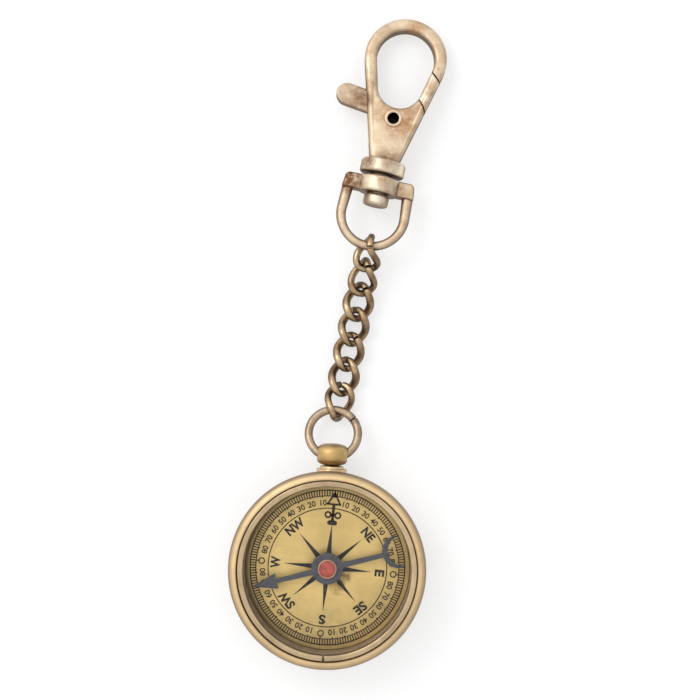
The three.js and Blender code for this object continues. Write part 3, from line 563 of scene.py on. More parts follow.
def ranged(tree, value, low, high, to_low=0.0, to_high=1.0):
    """A value of one range spread over another, and held inside it."""
    return add(tree, "ShaderNodeMapRange", {"Value": value, "From Min": low, "From Max": high,
                                            "To Min": to_low, "To Max": to_high}).outputs[0]


def times(tree, first, second):
    return add(tree, "ShaderNodeMath", {0: first, 1: second}, operation="MULTIPLY").outputs[0]


def plus(tree, first, second):
    return add(tree, "ShaderNodeMath", {0: first, 1: second}, operation="ADD").outputs[0]


def measured(tree, operation, *vectors):
    """A number from one or two vectors."""
    return add(tree, "ShaderNodeVectorMath", dict(enumerate(vectors)), operation=operation).outputs["Value"]


def part_of(tree, vector, letter):
    return add(tree, "ShaderNodeSeparateXYZ", {0: vector}).outputs[letter]


def from_axis(tree, where):
    """Distance from the axis of the case."""
    across = add(tree, "ShaderNodeVectorMath", {0: where, 1: (1.0, 1.0, 0.0)}, operation="MULTIPLY")
    return measured(tree, "LENGTH", across.outputs[0])


def mottle(tree, where, scale, detail=4.0, rough=0.6):
    """Cloudy noise from 0 to 1, most of it within CLOUD."""
    return add(tree, "ShaderNodeTexNoise", {"Vector": where, "Scale": scale, "Detail": detail,
                                            "Roughness": rough}).outputs[0]


def patched(tree, cloud, low, high, share, tint, over):
    """Patches of another colour over a tint, up to a share, where noise is high."""
    return mixed(tree, ranged(tree, cloud, low, high, 0.0, share), tint, over)


def stained(tree, where, tint, spots):
    """Torn stains and torn patches of painted shade over a colour, each given as its place, its reach, its
    strength and its colour.
    """
    torn = ranged(tree, mottle(tree, where, 800.0, 5.0, 0.7), 0.32, 0.6)
    for place, reach, share, stain in spots:
        spread = ranged(tree, measured(tree, "DISTANCE", where, place), 0.25 * reach, reach, share, 0.0)
        tint = mixed(tree, times(tree, spread, torn), tint, stain)
    return tint


def new_finish(name):
    finish = bpy.data.materials.new(name)
    finish.use_nodes = True
    tree = finish.node_tree
    tree.nodes.clear()
    shader = add(tree, "ShaderNodeBsdfPrincipled")
    output = add(tree, "ShaderNodeOutputMaterial", {"Surface": shader.outputs[0]})
    where = add(tree, "ShaderNodeTexCoord").outputs["Object"]
    return finish, tree, shader, output, where


def surfaced(tree, shader, tint, gloss, height, depth, metal=0.0, **relief):
    """Gives a finish its colour, its gloss and its fine relief."""
    bump = add(tree, "ShaderNodeBump", {"Height": height, "Distance": depth, **relief})
    for socket, value in (("Base Color", tint), ("Roughness", gloss), ("Normal", bump.outputs[0]),
                          ("Metallic", metal)):
        put(tree, shader.inputs[socket], value)


def worn_metal(name, base, shade, tarnish, rough, patch=160.0, patch_share=0.75, recess=1.2 * MM,
               recess_share=0.9, side=None, side_share=0.0, side_from=0.75, stains=(), grain=1500.0,
               grain_depth=0.012 * MM, edge=0.12 * MM, edge_light=0.35, lathe=False, specks=0.0, metal=1.0):
    """Metal with duller patches, painted shade on its steep sides, brown corners that are partly tarnished
    hollows and partly painted shade, brighter edges and a fine uneven surface.
    """
    finish, tree, shader, _, where = new_finish(name)
    tint = patched(tree, mottle(tree, where, patch, 5.0, 0.65), 0.38, 0.68, patch_share, base, shade)
    # Painted shade: faces that turn sideways are darkened towards the side colour, more the steeper they
    # are.
    if side:
        facing = part_of(tree, add(tree, "ShaderNodeTexCoord").outputs["Normal"], "Z")
        upright = add(tree, "ShaderNodeMath", {0: facing}, operation="ABSOLUTE").outputs[0]
        tint = mixed(tree, ranged(tree, upright, side_from - 0.45, side_from, side_share, 0.0), tint, side)
    if lathe:
        run = plus(tree, from_axis(tree, where), part_of(tree, where, "Z"))
        rings = add(tree, "ShaderNodeTexNoise", {"W": run, "Scale": 2800.0, "Detail": 4.0},
                    noise_dimensions="1D").outputs[0]
        tint = patched(tree, rings, 0.5, 0.7, 0.24, tint, tarnish)
    tint = stained(tree, where, tint, stains)
    # Brown corners: partly tarnished hollows, partly painted shade where the hollows fall dark.
    open_sky = add(tree, "ShaderNodeAmbientOcclusion", {"Distance": recess}, samples=12, only_local=True)
    corner = ranged(tree, open_sky.outputs["AO"], 0.35, 0.86, recess_share, 0.0)
    uneven = ranged(tree, mottle(tree, where, patch * 5, 4.0, 0.7), 0.25, 0.6, 0.55, 1.0)
    corner = times(tree, corner, uneven)
    tint = mixed(tree, corner, tint, tarnish)
    soft = add(tree, "ShaderNodeBevel", {"Radius": edge}, samples=6).outputs[0]
    agree = measured(tree, "DOT_PRODUCT", soft, add(tree, "ShaderNodeNewGeometry").outputs["Normal"])
    rubbed = times(tree, ranged(tree, agree, 0.97, 0.75, 0.0, edge_light),
                   ranged(tree, corner, 0.0, 0.3, 1.0, 0.0))
    tint = mixed(tree, rubbed, tint, [min(1.0, c * 1.25 + 0.04) for c in base])
    if specks:
        tint = patched(tree, mottle(tree, where, 2600.0, 2.0, 0.5), 0.66, 0.74, specks, tint, tarnish)
    streak = mottle(tree, where, grain * 0.3, 5.0, 0.7)
    height = mottle(tree, where, grain)
    if lathe:
        height = plus(tree, times(tree, height, 0.5), times(tree, rings, 0.6))
        streak = plus(tree, times(tree, streak, 0.6), times(tree, rings, 0.4))
    gloss = plus(tree, ranged(tree, streak, *CLOUD, *rough), times(tree, corner, 0.25))
    surfaced(tree, shader, tint, gloss, height, grain_depth, metal, Normal=soft)
    return finish


def dial_finish(s, level):
    """Brushed brass with brown stains beside the hub, greyer towards the south and the east, and a painted
    shadow on its west edge beyond the scale; its face at a level.
    """
    finish, tree, shader, _, where = new_finish("brushed_dial")
    tint = patched(tree, mottle(tree, where, 130.0, 6.0, 0.7), 0.36, 0.66, 0.7, s.brass, s.brass_shade)
    strokes = add(tree, "ShaderNodeMapping", {"Vector": where, "Scale": (180.0, 2600.0, 1.0)}).outputs[0]
    brush = mottle(tree, strokes, 1.0)
    tint = patched(tree, brush, 0.35, 0.75, 0.22, tint, s.brass_shade)
    tint = stained(tree, where, tint, [
        ((across * MM, along * MM, level), reach * MM, share, tone)
        for across, along, reach, share, tone in (
            (3.7, -1.5, 1.5, 1.0, s.stain), (2.1, -3.9, 1.7, 1.0, s.stain), (2.8, -2.8, 1.0, 1.0, s.stain),
            # Greyer, darker patches towards the south and the east of the dial.
            (0.0, -13.0, 8.0, 0.45, s.dull), (11.0, -7.0, 6.0, 0.4, s.dull))])
    # Painted shadow: the dial's edge beyond the scale is darkened on its west side.
    edge = ranged(tree, from_axis(tree, where), s.scale_radius, s.scale_radius + 0.6 * MM, 0.0, 0.8)
    west = ranged(tree, part_of(tree, where, "X"), -12 * MM, 0.0, 1.0, 0.0)
    tint = mixed(tree, times(tree, edge, west), tint, s.margin)
    tint = patched(tree, mottle(tree, where, 2200.0, 3.0), 0.67, 0.74, 0.35, tint, s.stain)
    surfaced(tree, shader, tint, ranged(tree, brush, *CLOUD, 0.4, 0.56), brush, 0.006 * MM, 0.85)
    return finish


def ink_finish(s):
    """Thin dark print, worn brown in places."""
    finish, tree, shader, _, where = new_finish("dial_ink")
    tint = patched(tree, mottle(tree, where, 1500.0, 5.0, 0.7), 0.52, 0.72, 0.5, s.ink, s.stain)
    gloss = ranged(tree, mottle(tree, where, 900.0), *CLOUD, 0.45, 0.65)
    surfaced(tree, shader, tint, gloss, mottle(tree, where, 4000.0), 0.004 * MM)
    return finish


def steel_finish(s):
    """Dulled blue steel with fine darker specks."""
    finish, tree, shader, _, where = new_finish("needle_steel")
    tint = patched(tree, mottle(tree, where, 1700.0, 5.0, 0.75), 0.42, 0.7, 0.8, s.steel, s.steel_shade)
    gloss = ranged(tree, mottle(tree, where, 900.0, 5.0, 0.7), *CLOUD, 0.42, 0.58)
    surfaced(tree, shader, tint, gloss, mottle(tree, where, 3000.0), 0.01 * MM, 0.55)
    return finish


def jewel_finish(s):
    """Red fill with darker patches and an uneven top."""
    finish, tree, shader, _, where = new_finish("red_fill")
    tint = patched(tree, mottle(tree, where, 900.0, 5.0, 0.65), 0.35, 0.65, 0.9, s.jewel, s.jewel_shade)
    gloss = ranged(tree, mottle(tree, where, 1400.0), *CLOUD, 0.3, 0.5)
    surfaced(tree, shader, tint, gloss, mottle(tree, where, 1300.0, 3.0), 0.05 * MM)
    return finish


def glass_finish():
    """Clear flat glass with faint smears, which lets light and shadow through to the dial."""
    finish, tree, shader, output, where = new_finish("flat_glass")
    smear = mottle(tree, where, 220.0, 5.0, 0.7)
    tint = mixed(tree, ranged(tree, smear, *CLOUD), (0.97, 0.985, 0.975), (1.0, 1.0, 1.0))
    surfaced(tree, shader, tint, ranged(tree, smear, 0.35, 0.75, 0.0, 0.02), smear, 0.002 * MM)
    shader.inputs["Transmission Weight"].default_value = 1.0
    shader.inputs["IOR"].default_value = 1.15
    clear = add(tree, "ShaderNodeBsdfTransparent")
    rays = add(tree, "ShaderNodeLightPath").outputs
    lets_through = plus(tree, rays["Is Shadow Ray"], rays["Is Diffuse Ray"])
    choice = add(tree, "ShaderNodeMixShader", {0: lets_through, 1: shader.outputs[0], 2: clear.outputs[0]})
    put(tree, output.inputs["Surface"], choice.outputs[0])
    return finish


def floor_finish(s):
    """Plain floor that looks white and keeps the object's shadow."""
    finish, tree, shader, _, where = new_finish("floor")
    tint = mixed(tree, mottle(tree, where, 3.0), s.floor, [c * 0.99 for c in s.floor])
    rays = add(tree, "ShaderNodeLightPath").outputs
    seen = plus(tree, plus(tree, rays["Is Camera Ray"], rays["Is Glossy Ray"]), rays["Is Transmission Ray"])
    for socket, value in (("Base Color", tint), ("Roughness", 0.9), ("Specular IOR Level", 0.0),
                          ("Emission Color", opaque(s.floor_glow)),
                          ("Emission Strength", ranged(tree, seen, 0.0, 1.0))):
        put(tree, shader.inputs[socket], value)
    return finish


# Case

def case_sizes(scene):
    """Heights and radii that the compass's pieces share."""
    c, d, n, p = scene.keychain_case, scene.keychain_dial, scene.keychain_needle, scene.keychain_pendant
    at = {"barrel": c.radius - c.rim_overhang, "mouth": c.radius - c.rim_width}
    at["wall"] = at["mouth"] - c.shoulder_width
    at["ring_top"] = c.height - c.ring_sink
    at["glass_top"] = at["ring_top"] - c.ring_height - c.seat
    at["shoulder"] = at["glass_top"] - c.glass_thickness - c.seat
    at["dial_top"] = at["shoulder"] - c.needle_room
    at["ledge"] = at["dial_top"] - d.thickness - c.seat
    at["blade"] = at["dial_top"] + n.lift
    at["cap_bottom"] = at["blade"] + n.thickness + c.seat
    at["barrel_top"] = c.height - c.rim_height - c.rim_step
    at["pendant"] = at["barrel_top"] - p.collar_radius - p.clearance
    at["flange"] = c.radius + p.collar_stand
    at["neck"] = at["flange"] + p.neck_height
    at["ball"] = at["neck"] + c.seat + p.ball_height / 2
    outer, inner = p.bow_radius + p.bow_wire / 2, p.bow_radius - p.bow_wire / 2
    at["bow_centre"] = (outer + math.sqrt(inner ** 2 - p.ball_mouth ** 2)) / 2
    at["ball_hole"] = outer - at["bow_centre"] + p.bow_fit
    return at


def case_shell(c, n, p, at, brass):
    """Turned cup with a bore for the pendant's shank, and walls round the dial in darker brass as painted
    shade.
    """
    hole, inner = n.post_radius + c.slide, at["wall"] - c.ledge_width
    cup = turned(filleted([
        (0, 0, 0), (at["barrel"], 0, c.back_round), (at["barrel"], at["barrel_top"], 0.25 * MM),
        (c.radius, at["barrel_top"] + c.rim_step, 0.15 * MM), (c.radius, c.height, c.rim_width - c.rim_land),
        (at["mouth"], c.height, 0.07 * MM), (at["mouth"], at["shoulder"], 0.05 * MM),
        (at["wall"], at["shoulder"], 0.12 * MM), (at["wall"], at["ledge"], 0.04 * MM),
        (inner, at["ledge"], 0.1 * MM), (inner, c.base, 0.3 * MM), (c.boss_radius, c.base, 0.2 * MM),
        (c.boss_radius, at["ledge"], 0.1 * MM), (hole, at["ledge"], 0.04 * MM),
        (hole, c.boss_floor, 0.04 * MM), (0, c.boss_floor, 0)], steps=9), sides=FINE_SIDES)
    bore = rod(p.shank_radius + c.slide, at["barrel"] - p.shank_depth, at["barrel"] + p.shank_depth,
               Matrix.Translation((0, 0, at["pendant"])) @ ALONG)
    case = show("case_shell", combined("DIFFERENCE", cup, bore), "case", brass, "case_body")
    weigh_normals(case)
    # Painted shade: the faces of the wall round the dial get the darker brass.
    wall = worn_metal("wall_brass", c.wall_brass, c.brass_side, c.tarnish, (0.34, 0.5), patch=240.0,
                      lathe=True, recess=0.7 * MM, grain_depth=0.006 * MM, metal=0.3)
    near = 0.1 * MM
    lined(case, wall, lambda spot: spot.xy.length < at["mouth"] - near
          and at["ledge"] < spot.z < at["shoulder"] + near)


def glass_disc(c, at):
    """Flat glass with a bevel round both faces."""
    radius, bevel, soft = at["mouth"] - c.slide, c.glass_chamfer, 0.05 * MM
    low, high = at["glass_top"] - c.glass_thickness, at["glass_top"]
    profile = filleted([(0, low, 0), (radius - bevel, low, soft), (radius, low + bevel, soft),
                        (radius, high - bevel, soft), (radius - bevel, high, soft), (0, high, 0)])
    disc = turned(profile, sides=DISC_SIDES)
    show("glass_disc", disc, "case", glass_finish(), "crystal", crease=25)


def glass_ring(c, at):
    """Split ring of flat wire that holds the glass down, its ends opposite the pendant."""
    outside = at["mouth"] - c.slide
    w, h, soft = c.ring_width / 2, c.ring_height / 2, 0.25 * MM
    section = filleted([(0, -h, 0), (w, -h, soft), (w, h, soft), (-w, h, soft), (-w, -h, soft),
                        (-SLIVER, -h, 0)], 5)
    middle = outside - w
    path = [Vector((middle * math.cos(a), middle * math.sin(a), at["ring_top"] - h))
            for a in round_from(-math.pi / 2, c.ring_split / outside, 160)]
    # Painted shade: the ring's steep sides are darkened, which draws dark lines beside the glass and the
    # rim.
    brass = worn_metal("ring_brass", c.brass_shade, c.wall_brass, c.tarnish, (0.28, 0.44), patch=140.0,
                       patch_share=0.6, recess=0.5 * MM, side=c.tarnish, side_share=0.8, lathe=True,
                       grain_depth=0.006 * MM, edge=0.06 * MM, specks=0.2)
    ring = bent(path, section, end_round=0.05 * MM)
    show("glass_ring", ring, "case", brass, "crystal_retaining_ring")


def needle_post(c, n, at, brass):
    """Post in the boss of the case, with the pin that carries the needle."""
    foot, stand, tip = c.boss_floor + c.seat, at["dial_top"] + n.post_stand, at["cap_bottom"] - n.tip_gap
    post = turned(filleted([
        (0, foot, 0), (n.post_radius, foot, 0.1 * MM), (n.post_radius, stand, 0.06 * MM),
        (n.pin_radius, stand + n.post_radius - n.pin_radius, 0.1 * MM),
        (n.pin_radius, tip - n.pin_taper, 0.1 * MM), (0, tip, 0)]), sides=PIN_SIDES)
    show("needle_post", post, "case", brass, "pivot_post")


class KEYCHAIN_OT_case(bpy.types.Operator):
    """Turned case with its glass, the split ring that holds it, and the post for the needle"""
    bl_idname = "keychain.case"
    bl_label = "Build case"

    def execute(self, context):
        scene, at = context.scene, case_sizes(context.scene)
        c, n = scene.keychain_case, scene.keychain_needle
        # Painted shade on the rim's steep outer side, darkened towards the brass side colour.
        brass = worn_metal("case_brass", c.brass, c.brass_shade, c.tarnish, (0.46, 0.6), patch=110.0,
                           patch_share=0.7, recess=0.8 * MM, recess_share=0.8, side=c.brass_side,
                           side_share=0.95, side_from=0.98, lathe=True, grain_depth=0.006 * MM,
                           edge_light=0.3, specks=0.25)
        case_shell(c, n, scene.keychain_pendant, at, brass)
        glass_disc(c, at)
        glass_ring(c, at)
        needle_post(c, n, at, brass)
        return {"FINISHED"}


# Dial

CAPITALS = 0.7
LARGE_HOOP = 5 * MM
QUARTERS = (1, 2, 3)
FIGURE_BOLD, LETTER_BOLD = 0.04 * MM, 0.1 * MM
RAY_ROOT, RAY_END = 1.3, 0.04 * MM
# How wide the letters of each direction are drawn, clockwise
POINTS = {"NE": 0.88, "E": 1.15, "SE": 1.05, "S": 1.15, "SW": 0.92, "W": 0.82, "NW": 0.88}


def spoke(clockwise, near, far, near_width, far_width):
    """A bar or spike from one radius to another, at an angle clockwise from north."""
    out = Vector((math.sin(clockwise), math.cos(clockwise)))
    side = Vector((out.y, -out.x))
    return [out * near - side * near_width / 2, out * near + side * near_width / 2,
            out * far + side * far_width / 2, out * far - side * far_width / 2]


def flat_shapes(outlines, thickness):
    """Points and faces of flat shapes of ink, each given as a closed outline."""
    levels = (-thickness / 2, thickness / 2)
    return gathered(skinned([[(*p, z) for p in outline] for z in levels], capped=True)
                    for outline in outlines)


def flat_hoops(rings, thickness):
    """Points and faces of thin circles of ink, each given as its centre, radius and width."""
    parts = []
    for centre, radius, width in rings:
        sides = DISC_SIDES if radius > LARGE_HOOP else SMALL_SIDES
        corners = [(radius + across * width / 2, up * thickness / 2)
                   for across, up in ((-1, -1), (1, -1), (1, 1), (-1, 1))]
        parts.append(skinned([[(*p, z) for p in circle(r, sides, centre)] for r, z in corners], closed=True))
    return gathered(parts)


def lettering(items, height, bold, thickness):
    """Points and faces of upright words round the dial, their tops outwards."""
    parts = []
    for text, radius, clockwise, wide in items:
        line = bpy.data.curves.new("line", "FONT")
        line.body, line.size, line.align_x = text, height / CAPITALS, "CENTER"
        line.offset, line.extrude, line.resolution_u = bold, thickness / 2, 4
        letter = placed("line", line)
        mesh = as_mesh(letter)
        bpy.data.objects.remove(letter)
        bpy.data.curves.remove(line)
        place = (Matrix.Rotation(-clockwise, 4, "Z") @ Matrix.Translation((0, radius - height / 2, 0))
                 @ Matrix.Diagonal((wide, 1, 1, 1)))
        parts.append(([place @ v.co for v in mesh.vertices],
                      [tuple(face.vertices) for face in mesh.polygons]))
        bpy.data.meshes.remove(mesh)
    return gathered(parts)


def scale_ticks(d):
    """Marks of the scale, longer at every tenth degree, with stems to the circles at the quarters."""
    inner, width = d.scale_radius - d.tick_length, d.tick_width
    longer, stem = 0.28 * MM, d.figure_radius + 0.8 * MM
    tenth = d.ticks // 36
    ticks = [spoke(TURN * k / d.ticks, inner - (0.0 if k % tenth else longer), d.scale_radius, width, width)
             for k in range(d.ticks)]
    return ticks + [spoke(quarter * TURN / 4, stem, inner, width, width) for quarter in QUARTERS]


def scale_circles(d):
    """The scale's three circles, and the small ones that stand for zero and ninety."""
    middle, thin = Vector((0, 0)), 0.21 * MM
    circles = [(middle, d.circle_radius, thin), (middle, d.scale_radius, 0.24 * MM),
               (middle, d.scale_radius - d.tick_length, 0.19 * MM)]
    for quarter in QUARTERS:
        out = Vector((math.sin(quarter * TURN / 4), math.cos(quarter * TURN / 4)))
        circles.append((out * (d.figure_radius + 0.2 * MM), 0.54 * MM, 1.15 * thin))
    return circles


def north_mark():
    """Hollow arrow head on a stem with a broad foot."""
    tip, base, half, line = 14.5 * MM, 12.3 * MM, 1.2 * MM, 0.36 * MM
    waist, foot, foot_radius = 10.2 * MM, Vector((0.5 * MM, 8.7 * MM)), 0.47 * MM
    mark = []
    corners = [Vector((0, tip)), Vector((half, base)), Vector((-half, base))]
    for first, second in zip(corners, corners[1:] + corners[:1]):
        run = (second - first).normalized() * line / 2
        side = Vector((run.y, -run.x))
        mark.append([first - run - side, first - run + side, second + run + side, second + run - side])
    mark += [spoke(0, near, far, near_width * MM, far_width * MM) for near, far, near_width, far_width in (
        (tip - 0.9 * MM, tip + 0.3 * MM, 0.7, 0.1), (8.9 * MM, waist, 0.7, 0.44), (waist, base, 0.5, 0.6),
        (waist - 0.3 * MM, waist + 0.3 * MM, 0.9, 0.7))]
    mark.append(two_circles(Vector((-foot.x, foot.y)), foot_radius, foot, foot_radius))
    rings = [(Vector((side * 0.95 * MM, waist)), 0.52 * MM, line) for side in (-1, 1)]
    return mark, rings


class KEYCHAIN_OT_dial(bpy.types.Operator):
    """Brass dial with its printed scale, figures, letters, rose and north mark"""
    bl_idname = "keychain.dial"
    bl_label = "Build dial"

    def execute(self, context):
        scene, at = context.scene, case_sizes(context.scene)
        c, d, n = scene.keychain_case, scene.keychain_dial, scene.keychain_needle
        low, top = at["dial_top"] - d.thickness, at["dial_top"]
        outer, hole = at["wall"] - c.slide, n.post_radius + c.slide
        middle, rim = (low + top) / 2, 0.05 * MM
        profile = filleted([(hole, middle, 0), (hole, low, rim), (outer, low, rim), (outer, top, rim),
                            (hole, top, rim), (hole, middle + rim, 0)], 3)
        disc = turned(profile, sides=DISC_SIDES, closed=True)
        show("dial_disc", disc, "case", dial_finish(d, top), "dial_plate")
        ink, gap = ink_finish(d), 0.004 * MM
        turn = Matrix.Rotation(-d.turn, 4, "Z") @ Matrix.Translation((0, 0, top + gap + d.ink_height / 2))

        def printed(name, shapes, outward=True):
            show(name, new_mesh(*shapes, turn, outward), "case", ink)

        printed("dial_ticks", flat_shapes(scale_ticks(d), d.ink_height))
        printed("dial_circles", flat_hoops(scale_circles(d), d.ink_height))
        rays = [spoke(k * TURN / 8, n.hub_radius / 2, d.ray_reach, d.ray_width * RAY_ROOT, RAY_END)
                for k in range(8)]
        printed("dial_rays", flat_shapes(rays, d.ink_height))
        figures = [(str(90 - 10 * k if quarter % 2 else 10 * k), d.figure_radius,
                    (quarter * 90 + 10 * k) * DEGREE, 1.0)
                   for quarter in range(4) for k in range(1, 9)]
        printed("dial_figures", lettering(figures, d.figure_height, FIGURE_BOLD, d.ink_height), False)
        letters = [(text, d.letter_radius, (k + 1) * TURN / 8, wide)
                   for k, (text, wide) in enumerate(POINTS.items())]
        printed("dial_letters", lettering(letters, d.letter_height, LETTER_BOLD, d.ink_height), False)
        mark, rings = north_mark()
        printed("dial_north_mark", flat_shapes(mark, d.ink_height))
        printed("dial_north_rings", flat_hoops(rings, d.ink_height))
        return {"FINISHED"}


# Needle

def needle_outlines(n, wall):
    """Outlines of the blade's hub, its arrow with the shaft, and its crescent."""
    reach, tail = wall - n.arrow_gap, wall - n.crescent_gap
    root, foot = reach - n.arrow_length + n.barb, tail - n.crescent_radius
    half = [(n.arrow_half_width, reach - n.arrow_length), (n.shaft_half_width, root), (n.root_half_width, 0),
            (n.shaft_half_width, -foot - n.crescent_thickness / 2)]
    arrow = [Vector((0, reach))] + [Vector((-x, y)) for x, y in half] + [Vector(p) for p in half[::-1]]
    hub = [Vector(p) for p in circle(n.hub_radius, ROD_SIDES)]
    drop = math.sqrt(n.crescent_radius ** 2 - n.horn_half_span ** 2)
    bite_depth = n.crescent_radius + drop - n.crescent_thickness
    bite = (n.horn_half_span ** 2 + bite_depth ** 2) / (2 * bite_depth)
    bite_y = -foot - n.crescent_thickness - bite
    outer_at = math.asin(-drop / n.crescent_radius)
    bite_at = math.asin((-tail - drop - bite_y) / bite)
    crescent = (arc(Vector((0, -tail)), n.crescent_radius, outer_at, math.pi - 2 * outer_at, 40)
                + arc(Vector((0, bite_y)), bite, math.pi - bite_at, 2 * bite_at - math.pi, 40))
    return hub, arrow, [p for i, p in enumerate(crescent) if (p - crescent[i - 1]).length > 1e-6]


def needle_arrow(c, n, at):
    """Flat blade with filed edges, bored for the cap's sleeve."""
    blade = combined("UNION", *[prism(outline, n.thickness) for outline in needle_outlines(n, at["wall"])])
    blade = combined("DIFFERENCE", blade, rod(n.sleeve_radius + c.slide, -n.thickness, n.thickness))
    middle = Matrix.Translation((0, 0, at["blade"] + n.thickness / 2))
    blade.transform(Matrix.Rotation(n.turn, 4, "Z") @ middle)
    piece = show("needle_arrow", blade, "needle", steel_finish(n), "needle_blade", crease=30)
    edge = piece.modifiers.new("filed edge", "BEVEL")
    edge.width, edge.segments, edge.limit_method, edge.angle_limit = 0.05 * MM, 2, "ANGLE", 50 * DEGREE
    weigh_normals(piece)


def needle_cup(c, n, at, rim_top):
    """Brass cap with a sleeve through the blade, a cup for the pin and a recess for the fill."""
    recess, sleeve, floor = n.jewel_radius + c.slide, at["blade"] - n.sleeve_depth, rim_top - n.jewel_depth
    brass = worn_metal("cap_brass", (0.72, 0.44, 0.3), (0.55, 0.33, 0.2), c.tarnish, (0.3, 0.45),
                       recess=0.3 * MM)
    cup = turned(filleted([
        (0, at["cap_bottom"], 0), (n.cup_radius, sleeve, 0.05 * MM), (n.sleeve_radius, sleeve, 0.08 * MM),
        (n.sleeve_radius, at["cap_bottom"], 0.03 * MM), (n.cap_radius, at["cap_bottom"], 0.1 * MM),
        (n.cap_radius, rim_top, 0.08 * MM), (recess, rim_top, 0.03 * MM), (recess, floor, 0.04 * MM),
        (0, floor, 0)], 4), sides=ROD_SIDES)
    show("needle_cup", cup, "needle", brass, "needle_cap")


def cap_fill(c, n, rim_top):
    """Red fill with a low crown."""
    low, top, edge = rim_top - n.jewel_depth + c.seat, rim_top + n.jewel_crown, rim_top - 0.06 * MM
    crown = [(0, low), (n.jewel_radius, low), (n.jewel_radius, edge)]
    crown += [(n.jewel_radius * math.cos(a) ** 0.6, edge + (top - edge) * math.sin(a))
              for a in quarter_turn(8)[1:]]
    show("cap_fill", turned(crown, sides=ROD_SIDES), "needle", jewel_finish(n), "cap_jewel")


class KEYCHAIN_OT_needle(bpy.types.Operator):
    """Arrow-and-crescent needle with its brass cap and red fill"""
    bl_idname = "keychain.needle"
    bl_label = "Build needle"

    def execute(self, context):
        c, n, at = context.scene.keychain_case, context.scene.keychain_needle, case_sizes(context.scene)
        rim_top = at["cap_bottom"] + n.cap_height
        needle_arrow(c, n, at)
        needle_cup(c, n, at, rim_top)
        cap_fill(c, n, rim_top)
        return {"FINISHED"}


# Pendant

def pendant_flange(c, p, at, along, inside):
    """Stepped collar, hollowed to sit on the case wall."""
    bore, middle = p.shank_radius + c.slide, (inside + at["neck"]) / 2
    # Painted shade on the flange's steep sides.
    brass = worn_metal("pendant_brass", c.brass, c.brass_shade, c.tarnish, (0.28, 0.44), recess=0.6 * MM,
                       recess_share=0.4, side=c.brass_side, side_share=0.6, edge_light=0.3)
    flange = turned(filleted([
        (bore, middle, 0), (bore, inside, 0.03 * MM), (p.collar_radius, inside, 0.1 * MM),
        (p.collar_radius, at["flange"], 0.12 * MM), (p.neck_radius, at["flange"], 0.08 * MM),
        (p.neck_radius, at["neck"], 0.15 * MM), (bore, at["neck"], 0.03 * MM),
        (bore, middle + 0.1 * MM, 0)], 4), along, ROD_SIDES, closed=True)
    flange = combined("DIFFERENCE", flange, rod(at["barrel"] + c.slide, 0, c.height, sides=FINE_SIDES))
    weigh_normals(show("pendant_flange", flange, "case", brass, "pendant_collar"))


def pendant_bead(c, p, at, along, inside):
    """Flattened ball on its shank, with the cross hole for the bow."""
    half, end, chamfer = p.ball_height / 2, inside + c.seat, 0.08 * MM
    profile = [(0, end), (p.shank_radius - chamfer, end), (p.shank_radius, end + chamfer),
               (p.shank_radius, at["ball"] - half)]
    power, steps = 2 / p.ball_squareness, 40
    for i in range(1, steps + 1):
        a = (i / steps - 0.5) * math.pi
        radius = p.ball_radius * bulged(math.cos(a), power)
        if a > 0 or radius >= p.shank_radius:
            profile.append((radius, at["ball"] + half * bulged(math.sin(a), power)))
    hole = rod(at["ball_hole"], -1.5 * p.ball_radius, 1.5 * p.ball_radius,
               Matrix.Translation((0, at["ball"], at["pendant"])) @ Matrix.Rotation(math.pi / 2, 4, "Y"))
    # Painted shade: the ball's steep sides are darkened towards the ring's browner colour.
    satin = worn_metal("bead_brass", p.ball_brass, p.ball_shade, c.tarnish, (0.38, 0.52), patch=220.0,
                       recess=1.5 * MM, recess_share=0.6, side=p.bow_shade, side_share=0.8, edge=0.15 * MM,
                       edge_light=0.1, grain=2200.0)
    weigh_normals(show("pendant_bead", combined("DIFFERENCE", turned(profile, along), hole), "case", satin,
                       "pendant_ball"))


def hammered(share):
    """Shallow flats left by bending the wire of the bow round."""
    depth, often, seldom = 0.035, 9, 4
    return 1 - depth * (1 + math.sin(often * TURN * share) * math.sin(seldom * TURN * share)) / 2


def bow_hoop(c, p, at, place):
    """Open ring of wire through the ball."""
    path = [Vector((p.bow_radius * math.cos(a), at["bow_centre"] + p.bow_radius * math.sin(a), 0))
            for a in round_from(p.bow_seam, p.bow_seam_gap / p.bow_radius, 120)]
    # Painted shade: the ring's steep sides are darkened.
    brass = worn_metal("bow_brass", p.bow_brass, p.bow_shade, c.tarnish, (0.32, 0.48), patch=300.0,
                       patch_share=0.9, recess=1.0 * MM, side=c.tarnish, side_share=0.8, side_from=0.8,
                       stains=[(place @ path[0], 1.6 * MM, 0.8, c.tarnish)], grain=900.0,
                       grain_depth=0.04 * MM, specks=0.3)
    show("bow_hoop", wire(path, p.bow_wire, 28, place, 0.14 * MM, hammered), "bow", brass,
         "bow_ring")


def chain_level(scene):
    return scene.keychain_chain.level_ratio * scene.keychain_chain.wire


def bow_place(scene):
    """The bow's frame: at the cross hole, sloping down to the chain."""
    p, at = scene.keychain_pendant, case_sizes(scene)
    level = chain_level(scene) + scene.keychain_chain.bow_lift
    tilt = -math.asin((at["pendant"] - level) / (at["bow_centre"] + p.bow_radius))
    return aimed((0, at["ball"], at["pendant"]), tilt)


